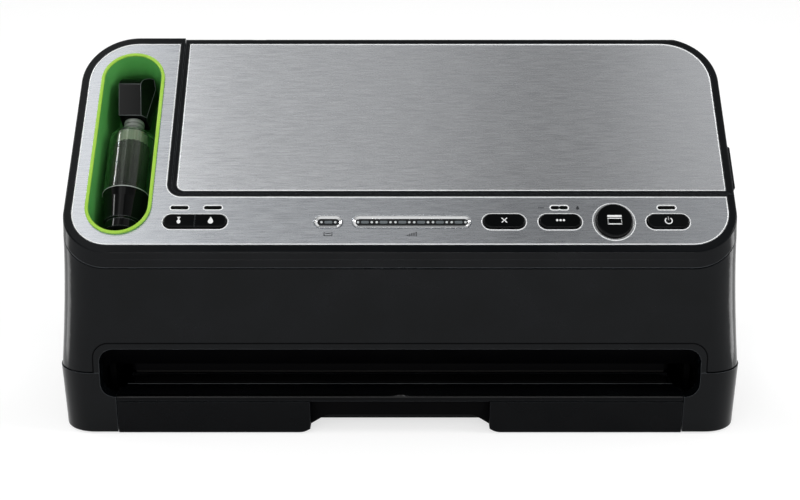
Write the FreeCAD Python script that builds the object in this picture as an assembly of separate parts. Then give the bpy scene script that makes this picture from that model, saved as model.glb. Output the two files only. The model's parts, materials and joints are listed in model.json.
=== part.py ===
import FreeCAD, Part
import math
import os

from FreeCAD import Placement, Rotation, Vector

# Countertop vacuum sealer: sloping steel top, roll compartment, handheld sealer in a pocket, drip tray.
# Millimetres, +Z up, front towards -Y, origin on the resting plane under the middle of the body.

# Body shell
BASE_WIDTH = 438.0
BASE_DEPTH = 237.0
BASE_CORNER = 23.5
BASE_TAPER = 1.5
BASE_ROUND = 1.2
SEAM_HEIGHT = 42.0
SEAM_STEP = 0.6
SEAM_GAP = 0.6
SEAM_REBATE = 1.2
WALL = 3.0
FLOOR = 3.0
FOOT_HEIGHT = 0.8
FOOT_PAD = 1.8
FOOT_RADIUS = 9.0
FOOT_INSET = 27.0
FOOT_FIT = 0.2

# Sloping panel and its cover
PANEL_SLOPE = 45.0
PANEL_FRONT_Z = 121.0
PANEL_LENGTH = 165.2
FRONT_SETBACK = 3.0
SIDE_SETBACK = 7.25
COVER_CORNER = 30.0
REAR_CORNER = 36.0
COVER_THICKNESS = 7.0
COVER_SKIN = 3.5
COVER_RIM = 4.0
SIDE_FLARE = 0.06
REAR_FLARE = 0.12
BACK_BULGE_Z = 135.0
RING_WIDTH = 5.0
RING_ROUND = 1.2
PLATE_SINK = 0.3
PLATE_THICKNESS = 1.0
PLATE_BEVEL = 0.6
PLATE_GAP = 0.15

# Lid over the roll compartment
POCKET_BAY = 66.45
LID_FRONT = 41.7
LID_CORNER = 7.0
LID_GAP = 0.6
LID_BORDER_SIDE = 2.6
LID_BORDER_FRONT = 1.6
LID_SKIN = 2.5
LID_RIM = 3.0
LID_CLEARANCE = 0.4
LID_TAB_FRONT = 46.0
LID_TAB_LENGTH = 32.0
LID_TAB_PROUD = 1.3
HINGE_PIN_RADIUS = 1.25
HINGE_PIN_GRIP = 6.0
HINGE_RUNNING = 0.05
KNUCKLE_INSET = 50.0
KNUCKLE_WIDTH = 8.0
KNUCKLE_RADIUS = 2.0
KNUCKLE_GAP = 0.3
KNUCKLE_SETBACK = 0.6

# Roll compartment and bag cutter
BIN_INSET_LEFT = 9.3
BIN_INSET_RIGHT = 15.8
BIN_INSET_REAR = 15.2
BIN_STRAIGHT = 42.0
BIN_WALL = 2.0
DECK_THICKNESS = 2.5
DECK_OVERLAP = 3.5
DECK_GAP = 0.5
RAIL_SETBACK = 7.0
RAIL_WIDTH = 10.0
RAIL_HEIGHT = 1.6
RAIL_SLOT = 3.0
RAIL_OFFSET = 5.0
CARRIAGE_LENGTH = 18.0
CARRIAGE_HEIGHT = 1.8
CARRIAGE_PARK = 8.0
CARRIAGE_GAP = 0.3
BLADE_THICKNESS = 0.5

# Controls on the panel
CONTROL_ROW = 21.6
LIGHT_ROW = 31.8
LIGHT_LENGTH = 10.8
LIGHT_WIDTH = 2.2
PAIR_INSET = 83.5
PAIR_LENGTH = 39.9
PAIR_WIDTH = 10.0
PILL_LENGTH = 26.6
PILL_WIDTH = 10.4
POWER_INSET = 44.0
SEAL_PITCH = 33.8
FOOD_PITCH = 33.7
CANCEL_PITCH = 35.1
PROGRESS_PITCH = 57.8
TRAY_WINDOW_PITCH = 52.2
SEAL_RADIUS = 11.4
SEAL_TRIM = 0.9
BUTTON_RISE = 1.8
SEAL_RISE = 2.6
BUTTON_ROUND = 0.9
BUTTON_GAP = 0.35
BUTTON_FLANGE = 1.2
BUTTON_FLANGE_DEPTH = 1.3
BUTTON_TRAVEL = 0.9
TRAY_WINDOW_LENGTH = 17.6
TRAY_WINDOW_CELLS = 1
PROGRESS_LENGTH = 74.2
PROGRESS_CELLS = 6
WINDOW_WIDTH = 8.6
WINDOW_FRAME = 1.9
WINDOW_LIP = 0.5
WINDOW_GROOVE = 0.7
WINDOW_SINK = 0.8
BOARD_DEPTH = 8.5
BOARD_THICKNESS = 1.6
BOARD_MARGIN = 2.5
BOARD_WIDTH = 30.0
BOARD_POST_RADIUS = 3.0
SWITCH_SIZE = 6.0
SWITCH_BODY = 1.2
SWITCH_PLUNGER = 1.6
SWITCH_GAP = 0.3

# Pocket and handheld sealer
POCKET_INSET = 34.25
POCKET_MIDDLE = 82.0
POCKET_LENGTH = 139.0
POCKET_WIDTH = 42.0
POCKET_RIM = 2.2
POCKET_RIM_HEIGHT = 0.9
POCKET_DEPTH = 40.0
POCKET_DRAW = 3.5
POCKET_WALL = 1.5
POCKET_FLANGE = 0.6
POCKET_FIT = 0.3
HAND_DEPTH = 18.0
HAND_CLEARANCE = 8.3
CUP_FOOT_RADIUS = 11.0
CUP_FOOT_LENGTH = 5.5
CUP_RADIUS = 15.0
CUP_LENGTH = 27.0
TANK_SHOULDER = 6.0
SHOULDER_STEPS = 4
TANK_WALL = 1.2
NECK_RADIUS = 5.8
NECK_LENGTH = 10.0
FILTER_RADIUS = 10.5
FILTER_CAP_RADIUS = 10.2
FILTER_CAP_LENGTH = 8.0
FILTER_CAP_GAP = 2.0
HEAD_LENGTH = 35.0
HEAD_CLEARANCE = 6.3
HEAD_HALF_WIDTH = 11.6
HEAD_FOOT_HALF = 8.9
HEAD_CROWN_HALF = 9.8
HEAD_CROWN = 8.0
HEAD_RISE = 9.0
HEAD_DROP = 11.0
HEAD_BEND = 11.0
HEAD_FACET_END = 2.1
HEAD_FACET_START = 5.7
HEAD_FACET_ANGLE = 45.0
SUCTION_RING_WIDTH = 2.0
SUCTION_RING_LENGTH = 1.6
SADDLE_THICKNESS = 3.0
SADDLE_GAP = 0.3
HOSE_RADIUS = 3.2
HOSE_GAP = 0.3

# Hose reel
REEL_INSET_REAR = 65.1
REEL_DRUM_RADIUS = 25.0
REEL_WIDTH = 24.0
REEL_FLANGE = 2.0
REEL_AXLE_RADIUS = 4.0
REEL_RUNNING = 0.05
REEL_BRACKET = 3.0
REEL_BRACKET_HALF = 13.0
REEL_SIDE_GAP = 0.5
HOSE_REEL_GAP = 0.4

# Bag slot, frame and throat
FRAME_INSET = 25.0
FRAME_TOP = 61.5
FRAME_CORNER = 10.0
FRAME_DEPTH = 10.0
FRAME_BAND = 3.8
FRAME_GAP = 0.4
MOUTH_CORNER = 9.0
THROAT_GAP = 1.3
THROAT_LIP = 5.0
THROAT_WALL = 2.0

# Drip tray
TRAY_MARGIN = 13.7
TRAY_SIDE_GAP = 0.6
TRAY_LENGTH = 84.0
TRAY_FRONT = 14.0
TRAY_TOP = 27.0
TRAY_UNDERSIDE = 9.0
TRAY_WALL = 2.0
TRAY_INSET = 3.0
LIP_DEPTH = 20.0
LIP_STEP = 1.5
LIP_ROUND = 2.0
TRAY_GROOVE_Z = 21.8
TRAY_GROOVE = 0.9
TROUGH_LENGTH = 33.0
TROUGH_MARGIN = 9.0
GRIP_HALF = 57.5
GRIP_DEPTH = 10.0
GRIP_BOTTOM = 9.4
GRIP_FLAT_HALF = 47.6
GRIP_FOOT_HALF = 61.4
GRIP_ROUND = 11.0
GUIDE_WIDTH = 8.0

# Clamp: upper jaw, heater and camshaft
JAW_MARGIN = 5.3
JAW_FRONT = 23.3
JAW_EDGE = 1.0
JAW_GAP = 6.0
JAW_TRAVEL = 5.6
JAW_HEIGHT = 14.0
JAW_SKIN = 4.0
GASKET_WIDTH = 4.0
GASKET_HEIGHT = 2.0
GASKET_OFFSET = 1.5
HEATER_SETBACK = 2.2
HEATER_WIDTH = 7.0
HEATER_HEIGHT = 1.4
TAPE_THICKNESS = 0.6
PAD_MARGIN = 1.5
SHAFT_SETBACK = 50.5
SHAFT_LIFT = 26.0
SHAFT_RADIUS = 5.0
SHAFT_RUNNING = 0.05
CAM_RADIUS = 11.0
CAM_HALF_SWING = 30.0
CAM_WIDTH = 10.0
CAM_GAP = 0.25
YOKE_X = 100.0
YOKE_THICKNESS = 8.0
YOKE_RIM = 5.0
BRACKET_GAP = 4.0
BRACKET_THICKNESS = 4.0
BRACKET_RIM = 8.0
GEAR_MODULE = 1.0
GEAR_TEETH = 60
PINION_TEETH = 12
GEAR_WIDTH = 6.0
GEAR_SIDE_GAP = 3.0
GEAR_BACKLASH = 0.2
GEAR_PRESSURE_ANGLE = 20.0
GEAR_DEDENDUM = 1.25
SECTOR_TEETH = 27
MOTOR_RADIUS = 14.0
MOTOR_LENGTH = 44.0
MOTOR_SHAFT_RADIUS = 2.0
MOTOR_SHAFT_GRIP = 15.0
MOUNT_THICKNESS = 3.0
MOUNT_GAP = 3.5

# Pump, supply and fasteners
PUMP_INSET_SIDE = 69.0
PUMP_INSET_REAR = 26.5
PUMP_LENGTH = 42.0
PUMP_DEPTH = 44.0
PUMP_HEIGHT = 50.0
PUMP_PLATE = 2.5
PUMP_MOTOR_RADIUS = 18.0
PUMP_MOTOR_LENGTH = 58.0
PUMP_MOTOR_LIFT = 4.0
PUMP_SADDLE_LENGTH = 24.0
PORT_LENGTH = 2.5
MANIFOLD_WIDTH = 26.0
MANIFOLD_DEPTH = 13.0
MANIFOLD_HEIGHT = 30.0
MANIFOLD_GAP = 3.0
TUBE_RADIUS = 4.0
TUBE_Z = 26.0
SUPPLY_INSET_REAR = 18.5
SUPPLY_GAP_LEFT = 17.0
SUPPLY_GAP_RIGHT = 21.0
SUPPLY_WIDTH = 68.0
SUPPLY_STAND = 7.0
CAPACITOR_RADIUS = 9.0
CAPACITOR_HEIGHT = 18.0
CAPACITOR_PITCH = 22.0
SINK_FINS = 4
SINK_PITCH = 12.0
SINK_FIN = 3.0
SINK_LENGTH = 20.0
TRANSFORMER_INSET_SIDE = 124.0
TRANSFORMER_INSET_REAR = 24.5
TRANSFORMER_LENGTH = 56.0
TRANSFORMER_CORE = 22.0
TRANSFORMER_COIL = 44.0
TRANSFORMER_HEIGHT = 48.0
TRANSFORMER_YOKE = 9.0
TRANSFORMER_COIL_ROUND = 7.0
INLET_INSET_SIDE = 69.0
INLET_Z = 24.0
INLET_RADIUS = 6.0
INLET_BORE = 3.5
INLET_FLANGE = 3.0
INLET_FLANGE_RADIUS = 9.0
SCREW_HEAD_RADIUS = 3.5
SCREW_HEAD_HEIGHT = 1.5
SCREW_RADIUS = 1.6
SCREW_LENGTH = 12.0
SCREW_FIT = 0.2
SCREW_SLOT = 0.8
SCREW_INSET_SIDE = 19.0
SCREW_INSET_REAR = 46.0
SCREW_FRONT = 68.0
SCREW_POST_RADIUS = 5.5
VENT_COUNT = 6
VENT_LENGTH = 46.0
VENT_WIDTH = 3.0
VENT_PITCH = 8.0

# Places worked out from the sizes above
FRONT_Y = -BASE_DEPTH / 2
REAR_Y = BASE_DEPTH / 2
FLOOR_TOP = FOOT_HEIGHT + FLOOR
UPPER_HALF = BASE_WIDTH / 2 - SEAM_STEP
UPPER_FRONT = FRONT_Y + SEAM_STEP
UPPER_REAR = REAR_Y - SEAM_STEP
UPPER_CORNER = BASE_CORNER - SEAM_STEP
COVER_HALF = BASE_WIDTH / 2 - SIDE_SETBACK
PANEL_Y = UPPER_FRONT + FRONT_SETBACK
SLOPE_SIN = math.sin(math.radians(PANEL_SLOPE))
SLOPE_COS = math.cos(math.radians(PANEL_SLOPE))
PANEL = Placement(Vector(0, PANEL_Y, PANEL_FRONT_Z), Rotation(Vector(1, 0, 0), PANEL_SLOPE))
WALL_RISE = PANEL_FRONT_Z - SEAM_HEIGHT
FRONT_LEAN = math.atan2(FRONT_SETBACK, WALL_RISE)
FRONT_RUN = math.tan(math.radians(PANEL_SLOPE) + FRONT_LEAN)
PLATE_FLOOR = PLATE_SINK + PLATE_THICKNESS
LID_LEFT = -COVER_HALF + POCKET_BAY
LID_BOTTOM = COVER_THICKNESS - LID_CLEARANCE
HINGE_RADIUS = LID_BOTTOM / 2
HINGE_V = PANEL_LENGTH - HINGE_RADIUS
HINGE_W = -HINGE_RADIUS
KNUCKLE_XS = (LID_LEFT + KNUCKLE_INSET, COVER_HALF - KNUCKLE_INSET)
BIN_LEFT = LID_LEFT + BIN_INSET_LEFT
BIN_RIGHT = COVER_HALF - BIN_INSET_RIGHT
RAIL_FRONT = LID_FRONT + RAIL_SETBACK
BIN_FRONT = RAIL_FRONT + RAIL_WIDTH + RAIL_OFFSET
BIN_RADIUS = (PANEL_LENGTH - BIN_INSET_REAR - BIN_FRONT) / 2
BIN_MIDDLE = BIN_FRONT + BIN_RADIUS
CARRIAGE_X = BIN_LEFT + CARRIAGE_PARK + CARRIAGE_LENGTH / 2
PAIR_X = -COVER_HALF + PAIR_INSET
POWER_X = COVER_HALF - POWER_INSET
SEAL_X = POWER_X - SEAL_PITCH
FOOD_X = SEAL_X - FOOD_PITCH
CANCEL_X = FOOD_X - CANCEL_PITCH
PROGRESS_X = CANCEL_X - PROGRESS_PITCH
TRAY_WINDOW_X = PROGRESS_X - TRAY_WINDOW_PITCH
BUTTON_BOTTOM = COVER_SKIN + BUTTON_GAP + BUTTON_FLANGE_DEPTH
POCKET_X = -COVER_HALF + POCKET_INSET
POCKET_OPENING_LENGTH = POCKET_LENGTH - 2 * POCKET_RIM
POCKET_OPENING_WIDTH = POCKET_WIDTH - 2 * POCKET_RIM
HAND_END = POCKET_MIDDLE - POCKET_OPENING_LENGTH / 2 + HAND_CLEARANCE
TANK_START = HAND_END + CUP_LENGTH
HEAD_END = POCKET_MIDDLE + POCKET_OPENING_LENGTH / 2 - HEAD_CLEARANCE
HEAD_START = HEAD_END - HEAD_LENGTH
NECK_START = HEAD_START - NECK_LENGTH
COIL_RADIUS = REEL_DRUM_RADIUS + 2 * HOSE_RADIUS
HOSE_V = HEAD_END - HEAD_BEND
HOSE_TOP = HAND_DEPTH + HEAD_DROP
REEL_V = HOSE_V - COIL_RADIUS - HOSE_REEL_GAP - HOSE_RADIUS
HOSE_END = (REAR_Y - REEL_INSET_REAR - PANEL_Y - REEL_V * SLOPE_COS) / SLOPE_SIN
REEL_HALF_SPAN = REEL_WIDTH / 2 + REEL_SIDE_GAP
FRAME_HALF = BASE_WIDTH / 2 - FRAME_INSET
FRAME_BACK = FRONT_Y + FRAME_DEPTH
MOUTH_HALF = FRAME_HALF - FRAME_BAND
MOUTH_TOP = FRAME_TOP - FRAME_BAND
MOUTH_BOTTOM = TRAY_TOP - LIP_STEP
TRAY_HALF = FRAME_HALF - TRAY_MARGIN
TRAY_BACK_HALF = TRAY_HALF - TRAY_INSET
TRAY_REAR_Y = FRONT_Y + TRAY_LENGTH
TROUGH_HALF = TRAY_BACK_HALF - TROUGH_MARGIN
TROUGH_REAR_Y = TRAY_REAR_Y - TROUGH_MARGIN
TROUGH_FRONT_Y = TROUGH_REAR_Y - TROUGH_LENGTH
JAW_HALF = TRAY_HALF - JAW_MARGIN
JAW_FRONT_Y = FRONT_Y + JAW_FRONT
JAW_REAR_Y = TRAY_REAR_Y - JAW_EDGE
JAW_BOTTOM = TRAY_TOP + JAW_GAP + GASKET_HEIGHT
JAW_TOP = JAW_BOTTOM + JAW_HEIGHT
HEATER_Y = JAW_FRONT_Y + HEATER_SETBACK
HEATER_HALF = JAW_HALF - 2 * PAD_MARGIN
SHAFT_Y = FRONT_Y + SHAFT_SETBACK
SHAFT_Z = JAW_TOP + SHAFT_LIFT
CAM_THROW = JAW_TRAVEL / (2 * math.sin(math.radians(CAM_HALF_SWING)))
CAM_REST_Y = CAM_THROW * math.cos(math.radians(CAM_HALF_SWING))
CAM_REST_Z = CAM_THROW * math.sin(math.radians(CAM_HALF_SWING))
GEAR_X = JAW_HALF + GEAR_SIDE_GAP
BRACKET_X = GEAR_X + GEAR_WIDTH + BRACKET_GAP
PINION_Y = SHAFT_Y + GEAR_MODULE * (GEAR_TEETH + PINION_TEETH) / 2
MOTOR_FACE_X = JAW_HALF - MOUNT_THICKNESS
PUMP_X = BASE_WIDTH / 2 - PUMP_INSET_SIDE
PUMP_Y = REAR_Y - PUMP_INSET_REAR - PUMP_DEPTH / 2
PUMP_FACE_X = PUMP_X - PUMP_LENGTH / 2
PUMP_AXIS_Z = FLOOR_TOP + PUMP_PLATE + PUMP_MOTOR_LIFT + PUMP_MOTOR_RADIUS
MANIFOLD_REAR_Y = TRAY_REAR_Y + MANIFOLD_GAP + MANIFOLD_DEPTH
TRANSFORMER_X = TRANSFORMER_INSET_SIDE - BASE_WIDTH / 2
TRANSFORMER_Y = REAR_Y - TRANSFORMER_INSET_REAR - TRANSFORMER_COIL / 2
SUPPLY_LEFT = TRANSFORMER_X + TRANSFORMER_LENGTH / 2 + SUPPLY_GAP_LEFT
SUPPLY_RIGHT = PUMP_FACE_X - PUMP_MOTOR_LENGTH - SUPPLY_GAP_RIGHT
SUPPLY_X = (SUPPLY_LEFT + SUPPLY_RIGHT) / 2
SUPPLY_Y = REAR_Y - SUPPLY_INSET_REAR - SUPPLY_WIDTH / 2
INLET_X = INLET_INSET_SIDE - BASE_WIDTH / 2
SCREW_X = BASE_WIDTH / 2 - SCREW_INSET_SIDE
SCREW_YS = (FRONT_Y + SCREW_FRONT, REAR_Y - SCREW_INSET_REAR)
SCREW_PLACES = [(x, y) for x in (-SCREW_X, SCREW_X) for y in SCREW_YS]


# Outlines and simple solids

def line(start, end):
    return Part.LineSegment(start, end).toShape()


def outline(x0, x1, y0, y1, radius, z=0.0, far_radius=None):
    """Closed rounded rectangle at height z; far_radius, if given, is for the two corners at y1."""
    far = radius if far_radius is None else far_radius
    inside = 1.0 - math.sqrt(0.5)
    near_bend = radius * inside
    far_bend = far * inside

    def at(x, y):
        return Vector(x, y, z)

    def arc(start, middle, end):
        return Part.Arc(start, middle, end).toShape()

    return Part.Wire([
        line(at(x0 + radius, y0), at(x1 - radius, y0)),
        arc(at(x1 - radius, y0), at(x1 - near_bend, y0 + near_bend), at(x1, y0 + radius)),
        line(at(x1, y0 + radius), at(x1, y1 - far)),
        arc(at(x1, y1 - far), at(x1 - far_bend, y1 - far_bend), at(x1 - far, y1)),
        line(at(x1 - far, y1), at(x0 + far, y1)),
        arc(at(x0 + far, y1), at(x0 + far_bend, y1 - far_bend), at(x0, y1 - far)),
        line(at(x0, y1 - far), at(x0, y0 + radius)),
        arc(at(x0, y0 + radius), at(x0 + near_bend, y0 + near_bend), at(x0 + radius, y0)),
    ])


def capsule(x, y, size_x, size_y, z=0.0):
    """Outline with fully rounded ends, centred on x, y."""
    radius = 0.499 * min(size_x, size_y)
    return outline(x - size_x / 2, x + size_x / 2, y - size_y / 2, y + size_y / 2, radius, z)


def slab(wire, height):
    return Part.Face(wire).extrude(Vector(0, 0, height))


def block(x0, x1, y0, y1, z0, z1):
    return Part.makeBox(x1 - x0, y1 - y0, z1 - z0, Vector(x0, y0, z0))


def rod(radius, start, end):
    along = end - start
    return Part.makeCylinder(radius, along.Length, start, along)


def rod_x(radius, x0, x1, y, z):
    return rod(radius, Vector(x0, y, z), Vector(x1, y, z))


def rod_y(radius, x, y0, y1, z):
    return rod(radius, Vector(x, y0, z), Vector(x, y1, z))


def rod_z(radius, x, y, z0, z1):
    return rod(radius, Vector(x, y, z0), Vector(x, y, z1))


def front_slab(wire, y0, y1):
    """Extrudes an X-Z outline, drawn in X-Y, from y0 to y1."""
    face = Part.Face(wire)
    face.Placement = Placement(Vector(0, y0, 0), Rotation(Vector(1, 0, 0), 90)).multiply(face.Placement)
    return face.extrude(Vector(0, y1 - y0, 0))


def side_slab(points, x0, x1):
    """Extrudes a closed Y-Z polygon from x0 to x1."""
    wire = Part.makePolygon([Vector(x0, y, z) for y, z in points + points[:1]])
    return Part.Face(wire).extrude(Vector(x1 - x0, 0, 0))


def turned(profile, x, depth):
    """Turns (radius, v) points about the handheld's axis, which runs along the panel."""
    wire = Part.makePolygon([Vector(x + r, v, -depth) for r, v in profile + profile[:1]])
    return Part.Face(wire).revolve(Vector(x, 0, -depth), Vector(0, 1, 0), 360)


def top_edges(shape, z):
    """Edges that lie wholly at height z."""
    reach = 0.001
    return [e for e in shape.Edges if abs(e.BoundBox.ZMin - z) < reach and abs(e.BoundBox.ZMax - z) < reach]


def on_panel(shape):
    """Puts a shape drawn flat (x, along the slope, outward) onto the sloping panel."""
    placed = shape.copy()
    placed.Placement = PANEL.multiply(placed.Placement)
    return placed


def export(name, shape):
    solid = shape.removeSplitter()
    solid.exportStep(os.path.join("parts", name + ".step"))


# Body shell

def cover_outline(depth, inset=0.0, front_inset=None):
    """Outline of the body in a plane parallel to the panel, at a depth below it."""
    half = COVER_HALF + SIDE_FLARE * depth - inset
    front = -FRONT_RUN * depth + (inset if front_inset is None else front_inset)
    rear = PANEL_LENGTH + REAR_FLARE * depth - inset
    return outline(-half, half, front, rear, COVER_CORNER - inset, -depth, REAR_CORNER - inset)


def seam_outline(inset=0.0, z=SEAM_HEIGHT):
    half = UPPER_HALF - inset
    return outline(-half, half, UPPER_FRONT + inset, UPPER_REAR - inset, UPPER_CORNER - inset, z)


def middle_outline(inset=0.0):
    """Outline half way up, whose rear edge lets the back rise upright and then lean in."""
    panel_front = PANEL.multVec(Vector(0, -FRONT_RUN * COVER_THICKNESS, -COVER_THICKNESS))
    panel_rear = PANEL.multVec(Vector(0, PANEL_LENGTH + REAR_FLARE * COVER_THICKNESS, -COVER_THICKNESS))
    front = Vector(0, (UPPER_FRONT + panel_front.y) / 2, (SEAM_HEIGHT + panel_front.z) / 2)
    rear = Vector(0, (3 * UPPER_REAR + panel_rear.y) / 4, BACK_BULGE_Z)
    across = rear - front
    half = (UPPER_HALF + COVER_HALF + SIDE_FLARE * COVER_THICKNESS) / 2 - inset
    radius = (UPPER_CORNER + COVER_CORNER) / 2 - inset
    rear_radius = (UPPER_CORNER + REAR_CORNER) / 2 - inset
    wire = outline(-half, half, inset, across.Length - inset, radius, 0.0, rear_radius)
    tilt = math.degrees(math.atan2(across.z, across.y))
    wire.Placement = Placement(front, Rotation(Vector(1, 0, 0), tilt))
    return wire


def housing_form(inset=0.0):
    """Lofted form of the upper housing, from the level seam to the sloping one."""
    slant = 1.0 / SLOPE_COS
    top = on_panel(cover_outline(COVER_THICKNESS, inset, inset * slant))
    return Part.makeLoft([seam_outline(inset), middle_outline(inset), top], True, False)


def cap_form():
    """The whole cover slab before it is split into control cover and lid, with its top edge rounded."""
    slab_form = Part.makeLoft([cover_outline(COVER_THICKNESS), cover_outline(0.0)], True, True)
    return slab_form.makeFillet(RING_ROUND, top_edges(slab_form, 0.0))


def lid_region(grow=0.0):
    """Prism over the lid's share of the panel; a positive grow moves its edges outwards."""
    far = BASE_WIDTH
    corner = LID_CORNER + grow
    wire = outline(LID_LEFT - grow, far, LID_FRONT - grow, far, corner, -COVER_THICKNESS * 2)
    return slab(wire, COVER_THICKNESS * 4)


def frame_region(grow, y0, y1, bottom):
    half = FRAME_HALF + grow
    return front_slab(outline(-half, half, bottom, FRAME_TOP + grow, FRAME_CORNER + grow), y0, y1)


def upper_housing():
    shell = housing_form().cut(housing_form(WALL))
    level_gap = slab(seam_outline(-SEAM_GAP), SEAM_GAP).cut(slab(seam_outline(SEAM_REBATE), SEAM_GAP))
    sloping_gap = slab(cover_outline(COVER_THICKNESS + SEAM_GAP, -SEAM_GAP), SEAM_GAP)
    sloping_gap = sloping_gap.cut(slab(cover_outline(COVER_THICKNESS + SEAM_GAP, SEAM_REBATE), SEAM_GAP))
    slot_notch = frame_region(FRAME_GAP, 2 * FRONT_Y, FRONT_Y + 2 * FRAME_DEPTH, FLOOR_TOP)
    return shell.cut([level_gap, on_panel(sloping_gap), slot_notch])


def base_form(inset=0.0, bottom=FOOT_HEIGHT):
    def ring(shrink, z):
        half = BASE_WIDTH / 2 - shrink
        return outline(-half, half, FRONT_Y + shrink, REAR_Y - shrink, BASE_CORNER - shrink, z)

    return Part.makeLoft([ring(BASE_TAPER + inset, bottom), ring(inset, SEAM_HEIGHT)], True, True)


def tray_mouth(gap):
    half = TRAY_HALF + gap
    return block(-half, half, 2 * FRONT_Y, FRONT_Y + TRAY_FRONT + gap, 0, TRAY_TOP + gap)


def base_housing():
    outer = base_form()
    outer = outer.makeFillet(BASE_ROUND, top_edges(outer, FOOT_HEIGHT))
    tub = outer.cut(base_form(WALL, FLOOR_TOP))
    sill = outer.common(frame_region(0, 2 * FRONT_Y, FRAME_BACK, FLOOR_TOP))
    arch = housing_form().common(frame_region(0, 2 * FRONT_Y, FRAME_BACK, SEAM_HEIGHT - FRAME_CORNER))
    mouth_wire = outline(-MOUTH_HALF, MOUTH_HALF, MOUTH_BOTTOM, MOUTH_TOP, MOUTH_CORNER)
    mouth = front_slab(mouth_wire, 2 * FRONT_Y, 0)
    front = sill.fuse(arch)
    tub = tub.fuse(front).cut([mouth, tray_mouth(TRAY_SIDE_GAP)])
    runner_front = FRONT_Y + TRAY_FRONT + TRAY_SIDE_GAP
    additions = []
    for side in (-1, 1):
        ledge = sorted((side * (TRAY_BACK_HALF - GUIDE_WIDTH), side * TRAY_BACK_HALF))
        additions.append(block(ledge[0], ledge[1], runner_front, TRAY_REAR_Y, FLOOR_TOP, TRAY_UNDERSIDE))
        guide_inner = TRAY_BACK_HALF + TRAY_SIDE_GAP
        guide = sorted((side * guide_inner, side * (guide_inner + TRAY_WALL)))
        additions.append(block(guide[0], guide[1], runner_front, TRAY_REAR_Y, FLOOR_TOP, TRAY_GROOVE_Z))
    half_width = SUPPLY_WIDTH / 2 - 2 * BOARD_POST_RADIUS
    for x in (SUPPLY_LEFT + 2 * BOARD_POST_RADIUS, SUPPLY_RIGHT - 2 * BOARD_POST_RADIUS):
        for y in (SUPPLY_Y - half_width, SUPPLY_Y + half_width):
            additions.append(rod_z(BOARD_POST_RADIUS, x, y, FLOOR_TOP, FLOOR_TOP + SUPPLY_STAND))
    for x, y in SCREW_PLACES:
        additions.append(rod_z(SCREW_POST_RADIUS, x, y, FLOOR_TOP, FOOT_HEIGHT + SCREW_LENGTH))
    tub = tub.fuse(additions)
    cuts = [block(-GRIP_FOOT_HALF, GRIP_FOOT_HALF, 2 * FRONT_Y, runner_front + GRIP_DEPTH, 0, FLOOR_TOP)]
    for x, y in foot_places():
        cuts.append(rod_z(FOOT_RADIUS + FOOT_FIT, x, y, 0, FOOT_PAD))
    for x, y in SCREW_PLACES:
        cuts.append(rod_z(SCREW_HEAD_RADIUS + SCREW_FIT, x, y, 0, FOOT_HEIGHT + SCREW_HEAD_HEIGHT))
        cuts.append(rod_z(SCREW_RADIUS + SCREW_FIT / 2, x, y, 0, SEAM_HEIGHT))
    first = SUPPLY_Y - VENT_PITCH * (VENT_COUNT - 1) / 2
    for index in range(VENT_COUNT):
        wire = capsule(SUPPLY_X, first + index * VENT_PITCH, VENT_LENGTH, VENT_WIDTH)
        cuts.append(slab(wire, FLOOR_TOP))
    cuts.append(rod_y(INLET_RADIUS + SCREW_FIT, INLET_X, 0, BASE_DEPTH, INLET_Z))
    return tub.cut(cuts)


def cord_inlet():
    inner = REAR_Y - WALL - BASE_TAPER
    face = REAR_Y - BASE_TAPER
    flange = rod_y(INLET_FLANGE_RADIUS, INLET_X, inner - INLET_FLANGE, inner, INLET_Z)
    neck = rod_y(INLET_RADIUS, INLET_X, inner, face, INLET_Z)
    bore = rod_y(INLET_BORE, INLET_X, 0, BASE_DEPTH, INLET_Z)
    return flange.fuse(neck).cut(bore)


def foot_places():
    x = BASE_WIDTH / 2 - FOOT_INSET
    y = BASE_DEPTH / 2 - FOOT_INSET
    return [(-x, -y), (x, -y), (-x, y), (x, y)]


def rubber_feet():
    """Pads let into shallow round recesses in the base floor."""
    feet = []
    for x, y in foot_places():
        foot = Part.makeCylinder(FOOT_RADIUS, FOOT_PAD, Vector(x, y, 0))
        feet.append(foot.makeChamfer(FOOT_HEIGHT / 3, top_edges(foot, 0.0)))
    return Part.makeCompound(feet)


def base_screws():
    screws = []
    for x, y in SCREW_PLACES:
        seat = FOOT_HEIGHT + SCREW_HEAD_HEIGHT
        head = rod_z(SCREW_HEAD_RADIUS, x, y, FOOT_HEIGHT, seat)
        shank = rod_z(SCREW_RADIUS, x, y, seat, FOOT_HEIGHT + SCREW_LENGTH)
        half = SCREW_SLOT / 2
        reach = SCREW_HEAD_RADIUS
        slot = block(x - reach, x + reach, y - half, y + half, 0, FOOT_HEIGHT + SCREW_SLOT)
        screws.append(head.fuse(shank).cut(slot))
    return Part.makeCompound(screws)


# Sloping cover, plates and lid

def plate_slab(depth, height, grow=0.0):
    """Slab inside the black ring, before it is split between control plate and lid plate."""
    inset = RING_WIDTH - grow
    half = COVER_HALF - inset
    rear = PANEL_LENGTH - inset
    wire = outline(-half, half, inset, rear, COVER_CORNER - inset, -depth, REAR_CORNER - inset)
    return slab(wire, height)


def control_zone(grow):
    """Control plate's share of the plate slab."""
    margin = max(LID_BORDER_SIDE, LID_BORDER_FRONT)
    far = BASE_WIDTH
    wire = outline(LID_LEFT - LID_BORDER_SIDE + grow, far, LID_FRONT - LID_BORDER_FRONT + grow, far,
                   LID_CORNER + margin, -2 * COVER_THICKNESS)
    return slab(wire, 4 * COVER_THICKNESS)


def lid_zone(grow):
    """Lid plate's share of the plate slab."""
    far = BASE_WIDTH
    left = LID_LEFT + LID_GAP + LID_BORDER_SIDE - grow
    front = LID_FRONT + LID_GAP + LID_BORDER_FRONT - grow
    wire = outline(left, far, front, far, LID_CORNER - LID_BORDER_FRONT + grow, -2 * COVER_THICKNESS)
    return slab(wire, 4 * COVER_THICKNESS)


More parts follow.
